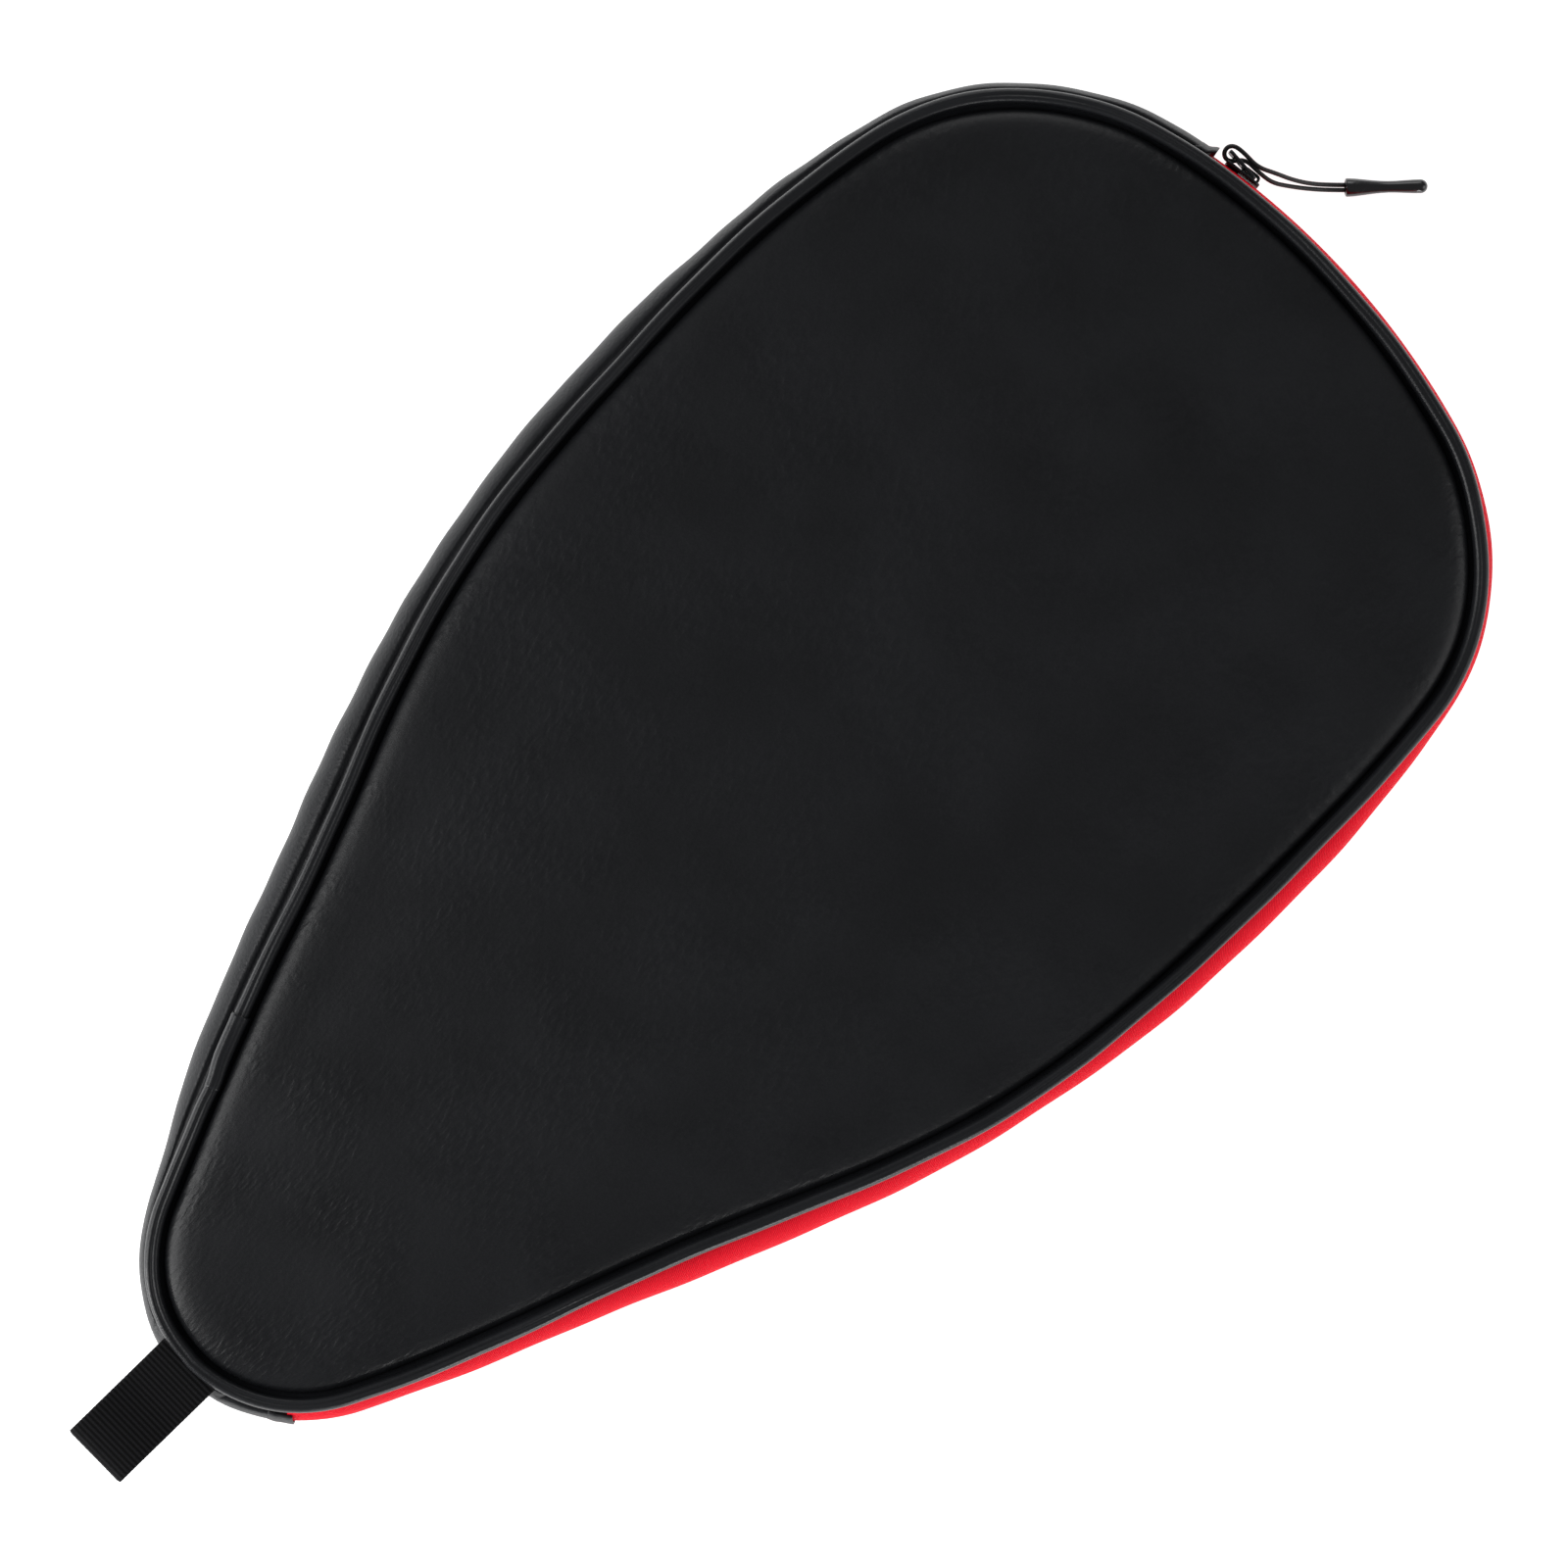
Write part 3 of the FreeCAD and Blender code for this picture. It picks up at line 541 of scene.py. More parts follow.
def braid(name, colour, turns, around):
    """Braided cord from a curve's own UVs, which run from 0 to 1 along it and round it."""
    made = Finish(name, Sheen_Weight=0.1, Coat_Weight=0.12, Coat_Roughness=0.3)
    along, across, _ = made.parts(made.place(uv=True))
    left = (along * turns + across * around).wave()
    right = (along * turns - across * around).wave()
    plait = left * right + (1 - left) * (1 - right)
    made.feed("Base Color", made.mix(plait, tinted(colour, 0.7), tinted(colour, 1.3)))
    made.feed("Roughness", 0.5 - 0.12 * plait)
    return made.bump(plait, 0.06).material


def plated(name, colour, rough, worn):
    """Plated metal with a fine brushed grain, brighter where it is rubbed."""
    made = Finish(name, Metallic=1.0)
    where = made.place()
    brushed = made.grain(made.place((0.6, 0.6, 8.0)), 1.0, 3.0)
    spots = made.grain(where, 0.7, 2.0)
    rubbed = spots.clear(0.55, 0.75)
    made.feed("Base Color", made.mix(rubbed * worn, colour, tinted(colour, 2.2)))
    made.feed("Roughness", rough + 0.12 * (brushed - 0.5) + 0.1 * (1 - rubbed))
    return made.bump(brushed, 0.01).material


def moulded(name, colour, rough, coat=0.0):
    """Moulded plastic with a faint flow texture and fine scratches."""
    made = Finish(name, Coat_Weight=coat, Coat_Roughness=0.12)
    flow = made.grain(made.place((0.3, 0.3, 0.3)), 1.0, 2.0)
    scratches = made.grain(made.place((3.0, 0.25, 1.0)), 1.0, 4.0).clear(0.62, 0.7)
    made.feed("Base Color", made.mix(flow, tinted(colour, 0.85), tinted(colour, 1.3)))
    made.feed("Roughness", rough + 0.08 * flow + 0.12 * scratches)
    return made.bump(flow * 0.8 + scratches * 0.2, 0.03).material


def foamed(name, colour):
    """Closed-cell foam: tiny round pits."""
    made = Finish(name, Roughness=0.9)
    pits = made.cells(made.place(), 1.6)
    made.feed("Base Color", made.mix(pits, tinted(colour, 1.15), tinted(colour, 0.6)))
    return made.bump(pits, 0.15).material


def paper(name, colour):
    """The pale floor: flat, lit from below like a photographer's table, with the faintest tooth."""
    made = Finish(name, Roughness=0.9, Specular_IOR_Level=0.1, Emission_Color=(1.0, 1.0, 1.0, 1.0),
                  Emission_Strength=0.85)
    tooth = made.grain(made.place(), 0.3, 2.0)
    made.feed("Base Color", made.mix(tooth, tinted(colour, 0.985), colour))
    return made.material


FINISHES = {}


def make_finishes(shape, look):
    """Every material of the case, by the name of what it is on."""
    black = tuple(look.leather)
    FINISHES.update(
        panel=leather("grained_leather", black, 0.9, 0.11, 0.42, wrinkled=0.8),
        wall=leather("pebbled_leather", tinted(black, 1.25), 1.0, 0.22, 0.44),
        piping=leather("piping_leather", tinted(black, 1.2), 0.8, 0.12, 0.38, coat=0.05),
        foam=foamed("packing_foam", (0.16, 0.16, 0.17)),
        lining=woven("woven_lining", tuple(look.lining), 0.45, 0.1),
        core=moulded("piping_core", (0.62, 0.62, 0.6), 0.6),
        binding=woven("binding_tape", (0.02, 0.02, 0.022), 0.4, 0.1),
        tape=twilled("red_zip_tape", tuple(look.tape)),
        teeth=moulded("red_nylon_teeth", (0.6, 0.006, 0.03), 0.3, coat=0.2),
        stop=plated("bright_stop", (0.6, 0.6, 0.62), 0.3, 0.4),
        slider=plated("dark_plated_slider", (0.03, 0.03, 0.033), 0.3, 0.5),
        tab=plated("dark_plated_tab", (0.05, 0.05, 0.055), 0.3, 0.5),
        cord=braid("braided_cord", tinted(tuple(look.webbing), 1.1), 46.0, 3.0),
        knot=woven("knotted_cord", tuple(look.webbing), 0.3, 0.1),
        cord_end=moulded("gloss_black_plastic", (0.006, 0.006, 0.007), 0.16, coat=0.6),
        webbing=webbing_finish("ribbed_webbing", tuple(look.webbing), shape.rib_pitch / MM),
        floor=paper("pale_floor", tuple(look.floor)),
    )


# ---------------------------------------------------------------- pull cord and its moulded end
def along_cord_end(points):
    """Points made along +X from the mouth, put on the moulded end's line."""
    line = (CORD_END_TIP - CORD_END_MOUTH).normalized()
    turn = line.to_track_quat("X", "Z").to_matrix()
    return [tuple(CORD_END_MOUTH + turn @ Vector(point)) for point in points]


def turned_rows(profile, sides=32, flatten=1.0):
    """Rings round the X axis from (x, radius) pairs, a little flattened in Z."""
    turns = [2 * math.pi * k / sides for k in range(sides)]
    return [[(x, radius * math.cos(a), radius * math.sin(a) * flatten) for a in turns]
            for x, radius in profile]


def make_cord():
    """The pull cord as one smooth curve, its knot, and the moulded end over both strands."""
    curve = bpy.data.curves.new("pull_cord_line", "CURVE")
    curve.dimensions = "3D"
    curve.resolution_u = 12
    curve.bevel_depth = CORD_DIAMETER / 2 * MM
    curve.bevel_resolution = 5
    curve.use_fill_caps = True
    spline = curve.splines.new("NURBS")
    spline.points.add(len(CORD_ROUTE) - 1)
    for point, place in zip(spline.points, CORD_ROUTE):
        point.co = (*(Vector(place) * MM), 1.0)
    spline.order_u = 3
    spline.use_endpoint_u = True
    cord = bpy.data.objects.new("pull_cord_braid", curve)
    bpy.context.scene.collection.objects.link(cord)

    length = (CORD_END_TIP - CORD_END_MOUTH).length
    bulb = length - 2.35
    outer = [(0.0, 2.45), (0.05, 2.95), (0.5, 3.15), (1.4, 3.15), (3.0, 3.05), (6.0, 2.72), (9.0, 2.36),
             (12.0, 2.08), (14.5, 1.98), (17.0, 2.02), (20.0, 2.18), (23.0, 2.34)]
    nose = [(bulb + 2.35 * math.sin(a), 2.38 * math.cos(a)) for a in np.linspace(0.0, 1.45, 7)]
    bore = [(7.4, 0.1), (7.4, 1.9), (3.0, 1.95), (0.6, 2.1), (0.15, 2.3)]
    profile = bore + [p for p in outer if p[0] < bulb] + nose + [(length, 0.05)]
    rows = [along_cord_end(row) for row in turned_rows(profile, 36, 0.97)]
    end = strip("cord_end_moulding", rows)
    knot_profile = [(2.9, 0.1), (3.0, 1.2), (3.4, 1.65), (4.2, 1.8), (5.0, 1.55), (5.8, 1.8), (6.6, 1.6),
                    (6.95, 1.1), (7.0, 0.1)]
    knot = strip("cord_stopper_knot", [along_cord_end(row) for row in turned_rows(knot_profile, 16)])

    finish_piece(end, FINISHES["cord_end"], "pull", ["cord_end"])
    finish_piece(knot, FINISHES["knot"], "pull", ["cord_knot"])
    finish_piece(cord, FINISHES["cord"], "pull", ["pull_cord"])


# ---------------------------------------------------------------- panels
SPINE_LOW, SPINE_HIGH = -205.0, 190.0
PANEL_EDGE = ((-0.35, 33.02), (-0.4, 33.6), (-0.62, 34.3), (-1.05, 35.0), (-1.7, 35.65), (-2.6, 36.25),
              (-3.8, 36.8), (-5.5, 37.3), (-8.0, 37.7), (-12.0, 38.0))
FOAM_EDGE = ((-2.1, 33.08), (-2.2, 33.9), (-2.9, 34.6), (-4.6, 35.5), (-8.0, 36.3), (-12.0, 36.8))
LINING_EDGE = ((-1.0, 0.0), (-6.0, 0.0))
LINING_HALF = 0.17           # half of the drawn sheet's thickness
FRONT_FOAM_FLOOR, BACK_FOAM_TOP = 33.05, 4.95


def panel_rows(edge, count, inner):
    """Closed rows of points, from a panel's edge in to its spine."""
    place, out = seam(np.arange(count) * AROUND / count)
    rows = [np.c_[place + out * distance, np.full(count, height)] for distance, height in edge]
    ring = rows[-1]
    level = seam(np.arange(count) * AROUND / count, 0.0)[0][:, 1] / CASE_LENGTH + 0.5
    spine = np.c_[np.zeros(count), SPINE_LOW + (SPINE_HIGH - SPINE_LOW) * level, ring[:, 2]]
    return rows + [ring + (spine - ring) * (i + 1) / inner for i in range(inner)]


def swelling(crown):
    """How far the padded front swells, as a height for any (x, y): a held cloth blown up from below."""
    count, inner = 240, 15
    rows = np.array(panel_rows(((-2.0, 0.0), (-5.0, 0.0), (-8.0, 0.0)), count, inner))
    cloth = strip("swelling_cloth", rows, caps=False)
    held = 3 * count
    work = bmesh.new()
    work.from_mesh(cloth.data)
    bmesh.ops.remove_doubles(work, verts=work.verts, dist=0.05 * MM)
    if sum(face.normal.z for face in work.faces) < 0:
        bmesh.ops.reverse_faces(work, faces=work.faces)
    work.to_mesh(cloth.data)
    work.free()
    flat = np.array([v.co[:] for v in cloth.data.vertices])
    group = cloth.vertex_groups.new(name="held")
    group.add(list(range(held)), 1.0, "REPLACE")
    settings = cloth.modifiers.new("Cloth", "CLOTH").settings
    settings.quality = 6
    settings.mass = 0.3
    settings.tension_stiffness = settings.compression_stiffness = 20
    settings.bending_stiffness = 2.0
    settings.use_pressure = True
    settings.uniform_pressure_force = 4.0
    settings.vertex_group_mass = "held"
    settings.effector_weights.gravity = 0.0
    for number in range(1, 21):
        bpy.context.scene.frame_set(number)
    graph = bpy.context.evaluated_depsgraph_get()
    blown = np.array([v.co[:] for v in cloth.evaluated_get(graph).data.vertices])
    rise = np.clip(blown[:, 2], 0.0, None)
    bpy.context.scene.frame_set(1)
    drop(cloth)
    rise = rise / max(rise.max(), 1e-9) * crown
    cell = 6.0 * MM
    low = flat[:, :2].min(0) - cell
    shape = tuple(((flat[:, :2].max(0) + 2 * cell - low) / cell).astype(int) + 1)
    total, weight = np.zeros(shape), np.zeros(shape)
    spots = (flat[:, :2] - low) / cell
    base = spots.astype(int)
    share = spots - base
    for dx in (0, 1):
        for dy in (0, 1):
            part = np.abs(1 - dx - share[:, 0]) * np.abs(1 - dy - share[:, 1]) + 1e-6
            np.add.at(total, (base[:, 0] + dx, base[:, 1] + dy), part * rise)
            np.add.at(weight, (base[:, 0] + dx, base[:, 1] + dy), part)
    known = weight > 0
    heights = np.where(known, total / np.where(known, weight, 1), 0)
    for _ in range(12):
        near = sum(np.roll(heights * known, turn, axis) for turn in (-1, 1) for axis in (0, 1))
        share_known = sum(np.roll(known.astype(float), turn, axis) for turn in (-1, 1) for axis in (0, 1))
        filled = np.where(share_known > 0, near / np.where(share_known > 0, share_known, 1), 0)
        heights = np.where(known, heights, filled)
        known = known | (share_known > 0)
    for _ in range(2):
        beside = sum(np.roll(heights, turn, axis) for turn in (-1, 1) for axis in (0, 1))
        heights = heights * 0.5 + beside * 0.125

    def rise_at(points):
        spot = (np.asarray(points) * MM - low) / cell
        spot = np.clip(spot, 0, np.array(shape) - 1.001)
        corner = spot.astype(int)
        x, y = (spot - corner).T
        a, b = corner.T
        return ((heights[a, b] * (1 - x) + heights[a + 1, b] * x) * (1 - y)
                + (heights[a, b + 1] * (1 - x) + heights[a + 1, b + 1] * x) * y) / MM
    return rise_at


def dents(points, height):
    """Soft dents and a few low ripples in the padded front."""
    out = []
    for x, y in points:
        broad = noise.noise(Vector((x / 46.0, y / 62.0, 3.1)))
        small = noise.noise(Vector((x / 17.0 + 9.0, y / 24.0, 7.4)))
        out.append(height * (broad + 0.35 * small))
    return np.array(out)


def pad(name, upper, lower):
    """A closed layer between two sets of rows that share their edge and meet along the spine."""
    rows = list(reversed(lower)) + list(upper)
    count, width = len(rows), len(rows[0])
    quads = ((i * width, (i + 1) * width, j, (j + 1) % width) for i in range(count - 1) for j in range(width))
    faces = [(here + j, after + j, after + n, here + n) for here, after, j, n in quads]
    return new_piece(name, np.asarray(rows).reshape(-1, 3), faces, merge=0.02)


def lowered(rows, depth):
    """Rows moved down by a depth."""
    return [row - (0.0, 0.0, depth) for row in rows]


def panel_skin(front, height_at, ripple):
    """A panel's skin: its outer face, and its inner face a skin's thickness below."""
    count, inner = 480, 26
    outer = panel_rows(PANEL_EDGE, count, inner)
    within = panel_rows([(o - 1.0, max(z - SKIN, 33.0)) for o, z in PANEL_EDGE[1:]], count, inner)
    if front:
        for rows in (outer, within):
            for i, row in enumerate(rows):
                fade = step(i, 4, 16)
                row[:, 2] += fade * height_at(row[:, :2]) + fade * dents(row[:, :2], ripple)
    else:
        for rows in (outer, within):
            for row in rows:
                row[:, 2] = CASE_THICKNESS - row[:, 2]
    return outer, within


def make_front_panel(shape):
    """The front's skin, padding and lining, each one piece that bends where the front folds."""
    height_at = swelling(shape.crown)
    outer, within = panel_skin(True, height_at, shape.ripple / MM)
    skin = pad("front_panel_skin", outer, within)
    finish_piece(skin, FINISHES["panel"], replaces=halves("skin"), fold=True)

    top = panel_rows(FOAM_EDGE, 240, 16)
    for i, row in enumerate(top):
        row[:, 2] += step(i, 2, 10) * height_at(row[:, :2])
    bottom = [np.c_[row[:, :2], np.full(len(row), FRONT_FOAM_FLOOR)] for row in top]
    foam = pad("front_panel_foam", top, bottom)
    finish_piece(foam, FINISHES["foam"], replaces=halves("foam"), fold=True)
    make_lining("front_panel_lining", 32.4, True)


def make_back_panel():
    """The back's skin, padding and lining, flat where the case lies on them."""
    outer, within = panel_skin(False, None, 0.0)
    skin = pad("back_panel_skin", outer, within)
    finish_piece(skin, FINISHES["panel"], "shell", ["back_skin"])
    top = panel_rows(FOAM_EDGE, 240, 16)
    for row in top:
        row[:, 2] = CASE_THICKNESS - row[:, 2]
    bottom = [np.c_[row[:, :2], np.full(len(row), BACK_FOAM_TOP)] for row in top]
    foam = pad("back_panel_foam", top, bottom)
    finish_piece(foam, FINISHES["foam"], "shell", ["back_foam"])
    make_lining("back_panel_lining", 5.0, False)


def make_lining(name, low, fold):
    """A panel's lining: a thin woven sheet stretched over the foam."""
    upper = panel_rows(LINING_EDGE, 240, 14)
    for row in upper:
        ruck = np.array([0.12 * noise.noise(Vector((x / 14.0, y / 19.0, low))) for x, y in row[:, :2]])
        row[:, 2] = low + LINING / 2 + LINING_HALF + ruck
    lower = lowered(upper, 2 * LINING_HALF)
    lining = pad(name, upper, lower)
    if fold:
        finish_piece(lining, FINISHES["lining"], replaces=halves("lining"), fold=True)
    else:
        finish_piece(lining, FINISHES["lining"], "shell", ["back_lining"])


# ---------------------------------------------------------------- piping
def piping_radius(angle, station, crease):
    """The cover's radius: two soft lobes, with a crease between them on the side that shows."""
    lean = 5.0 * math.sin(station / 31.0) + 3.0 * math.sin(station / 12.3)
    off = (angle + 92 + lean + 180) % 360 - 180
    pinch = 1.0 + 0.3 * math.sin(station / 47.0) + 0.15 * math.sin(station / 9.1)
    lobes = 0.08 * math.exp(-((abs(off) - 42) / 22) ** 2)
    return PIPING_RADIUS - crease * pinch * math.exp(-(off / 17) ** 2) + lobes


def polar(radius, angle):
    a = math.radians(angle)
    return PIPING_OUT + PIPING_SQUEEZE * radius * math.cos(a), PIPING_HEIGHT + radius * math.sin(a)


def piping_section(crease, sag):
    """A strip of cover wrapped round the cord with both its edges in the seam, made for the back."""
    def section(station):
        outer = [polar(piping_radius(a, station, crease), a) for a in np.linspace(90, -218, 78)]
        inner = [polar(2.16, a) for a in np.linspace(106, 458, 28)]
        points = [(LIP, 6.0), (PIPING_OUT - 0.4, 6.0), *outer[1:], (LIP, 5.0), (LIP, 5.42), *inner,
                  (LIP, 5.5)]
        shift = sag(station)
        return [(o + shift * step(o, -0.5, 1.5), z) for o, z in points]
    return section


def front_sag(station):
    """The front piping's sideways waver, with a kink where its joint starts."""
    kink = math.exp(-((station - JOINT_END + 2) / 6.0) ** 2)
    return wander(station, 1.0, (97.0, 0.16), (41.0, 0.1)) - 0.7 * kink


def back_sag(station):
    return wander(station, 5.0, (89.0, 0.14), (37.0, 0.1))


def joint_section(crease, sag):
    """The cover's overlap where its two ends meet: a second wrap round the first."""
    def section(station):
        span = JOINT_END - JOINT_START
        along = (station - JOINT_START) / span
        wall = 0.62 - 0.35 * step(along, 0.55, 1.0) + 0.12 * math.exp(-((along - 0.03) / 0.05) ** 2)
        angles = np.linspace(28, -206, 44)
        shift = sag(station)
        outer = [polar(piping_radius(a, station, crease * 0.8) + wall, a) for a in angles]
        inner = [polar(piping_radius(a, station, crease) + 0.02, a) for a in reversed(angles)]
        return [(o + shift * step(o, -0.5, 1.5), z) for o, z in outer + inner]
    return section


def make_piping(shape):
    """The piping round the front and the back: wrapped cover, cord inside, and the overlap on the flare."""
    crease = shape.crease / MM
    core = [polar(2.1, a) for a in np.linspace(0, 330, 12)]
    front = sweep("front_piping", front_side(piping_section(crease, front_sag)), 0.0, AROUND, closed=True)
    finish_piece(front, FINISHES["piping"], replaces=halves("piping_cover"), fold=True)
    cord = sweep("front_piping_filler", front_side(
        lambda s: [(o + front_sag(s), z) for o, z in core]), 0.0, AROUND, closed=True)
    finish_piece(cord, FINISHES["core"], replaces=halves("piping_cord"), fold=True)
    back = sweep("back_piping", piping_section(crease, back_sag), 0.0, AROUND, closed=True)
    finish_piece(back, FINISHES["piping"], "shell", ["back_piping_cover"])
    cord = sweep("back_piping_filler", lambda s: [(o + back_sag(s), z) for o, z in core], 0.0, AROUND,
                 closed=True)
    finish_piece(cord, FINISHES["core"], "shell", ["back_piping_cord"])
    for side, sag, turn in (("front", front_sag, front_side), ("back", back_sag, lambda s: s)):
        joint = sweep(side + "_piping_overlap", turn(joint_section(crease, sag)), JOINT_START, JOINT_END, 0.8)
        finish_piece(joint, FINISHES["piping"], "shell", [side + "_piping_joint"])


# ---------------------------------------------------------------- side wall
def bowed(bulge, depth, low, high, count, foot=WALL_FOOT):
    """Points down the bowed wall at a depth below its face, from one height to another."""
    rise = MID_HEIGHT - SEAM_HEIGHT
    out = bulge - foot
    radius = (rise ** 2 + out ** 2) / (2 * out)
    middle = bulge - radius
    top = math.asin(max(-1.0, min(1.0, (high - MID_HEIGHT) / (radius - depth))))
    bottom = math.asin(max(-1.0, min(1.0, (low - MID_HEIGHT) / (radius - depth))))
    return [(middle + (radius - depth) * math.cos(a), MID_HEIGHT + (radius - depth) * math.sin(a))
            for a in np.linspace(top, bottom, count)]


def loop_room(station):
    """1 where the hang loop's webbing passes over the side wall, 0 away from it."""
    away = abs((station + AROUND / 2) % AROUND - AROUND / 2)
    return 1 - step(away, 12.6, 15.5)


def tucked(points, station):
    """The wall drawn in beside both pipings, where the stitching pulls it under them."""
    pull = 2.3 * (1 - loop_room(station))
    out = []
    for o, z in points:
        side = 1 if z > MID_HEIGHT else -1
        dip = pull * math.exp(-((o - 6.9) / 1.15) ** 2) * step(abs(z - MID_HEIGHT), 7.5, 10.5)
        out.append((o, z - side * dip))
    return out


def wall_layer(outer, inner, lipped):
    """A layer of the side wall between two depths below its face."""
    def section(station):
        bulge = gusset_bulge(station)
        room = loop_room(station)
        top = (32.0 if lipped else 30.4) - room * (2.95 if lipped else 2.4)
        low = 6.0 if lipped else 7.6
        inset = (inner - outer) * lipped
        face = tucked(bowed(bulge, outer, low, top, 33), station)
        back = tucked(bowed(bulge, inner, low + inset, top - inset, 33), station)
        if lipped:
            waves = 0.11 * math.sin(station / 17.0)
            face = [(o + waves * math.sin((station + k) / 5.3) * math.sin(math.pi * k / 32), z)
                    for k, (o, z) in enumerate(face)]
            foot = [(1.0, low), (LIP, low), (LIP, low + 1.0), (1.0, low + 1.0)]
            head = [(1.0, top - 1.0), (LIP, top - 1.0)]
            return [(LIP, top), (1.0, top)] + face + foot + back[::-1] + head
        return face + back[::-1]
    return section


def tab_section(station, start, end, flare):
    """A folded leather end that laps onto the zip: it leaves the wall's face and flares at its free edge."""
    along = (station - start) / (end - start) if flare > 0 else (end - station) / (end - start)
    lift = -0.1 + 0.35 * step(along, 0.0, 0.3) + (0.3 if flare > 0 else 1.5) * step(along, 0.5, 1.0)
    bulge = gusset_bulge(AROUND + ZIP_TAIL if flare > 0 else ZIP_HEAD)
    face = bowed(bulge, -lift, MID_HEIGHT - 9.0, MID_HEIGHT + 9.0, 17)
    back = bowed(bulge, 0.7 - lift, MID_HEIGHT - 9.0, MID_HEIGHT + 9.0, 17)
    return face + back[::-1]


def make_side_wall():
    """The side wall's skin, padding and lining, and its two folded ends."""
    start, end = ZIP_HEAD, AROUND + ZIP_TAIL
    for name, outer, inner, lipped, finish, slot, node in (
            ("side_wall_skin", 0.0, 1.0, True, "wall", "black_leather", "gusset_skin"),
            ("side_wall_foam", 1.04, 3.9, False, "foam", "foam", "gusset_foam"),
            ("side_wall_lining", 3.95, 4.5, False, "lining", "lining", "gusset_lining")):
        layer = sweep(name, wall_layer(outer, inner, lipped), start, end, 2.2)
        finish_piece(layer, FINISHES[finish], "shell", [node])
    for name, first, flare in (("head", ZIP_HEAD - 1.5, -1), ("tail", ZIP_TAIL - 5.5, 1)):
        last = first + 7.0
        tab = sweep("side_wall_end_" + name, lambda s: tab_section(s, first, last, flare), first, last, 0.5)
        finish_piece(tab, FINISHES["wall"], "shell", ["gusset_end_tab_" + name])


def binding_section(front):
    """Woven tape folded over the raw seam inside."""
    def section(station):
        puff = wander(station, 3.0, (13.0, 0.05), (31.0, 0.06))
        corners = [(-2.55, 0.05), (-1.02, 0.05), (-1.02, 1.5), (-1.3, 1.85 + puff), (-2.2, 1.85 + puff),
                   (-2.6, 1.45)]
        return [(o, 5.62 + z) for o, z in corners]
    return front_side(section) if front else section


def make_bindings():
    """The binding tape over the seams inside."""
    front = sweep("front_seam_binding", binding_section(True), 0.0, AROUND, 3.0, closed=True)
    finish_piece(front, FINISHES["binding"], replaces=halves("seam_binding"), fold=True)
    back = sweep("back_seam_binding_tape", binding_section(False), 0.0, AROUND, 3.0, closed=True)
    finish_piece(back, FINISHES["binding"], "shell", ["back_seam_binding"])


# ---------------------------------------------------------------- zip
def tape_section(front):
    def section(station):
        bulge = zip_bulge(station)
        face = bowed(bulge, 0.0, 6.0, 18.66, 21)
        back = bowed(bulge, TAPE, 6.0 + TAPE, 18.66, 21)
        return [(1.0, 6.0)] + face[::-1] + back + [(1.0, 6.0 + TAPE), (LIP, 6.0 + TAPE), (LIP, 6.0)]
    return front_side(section) if front else section


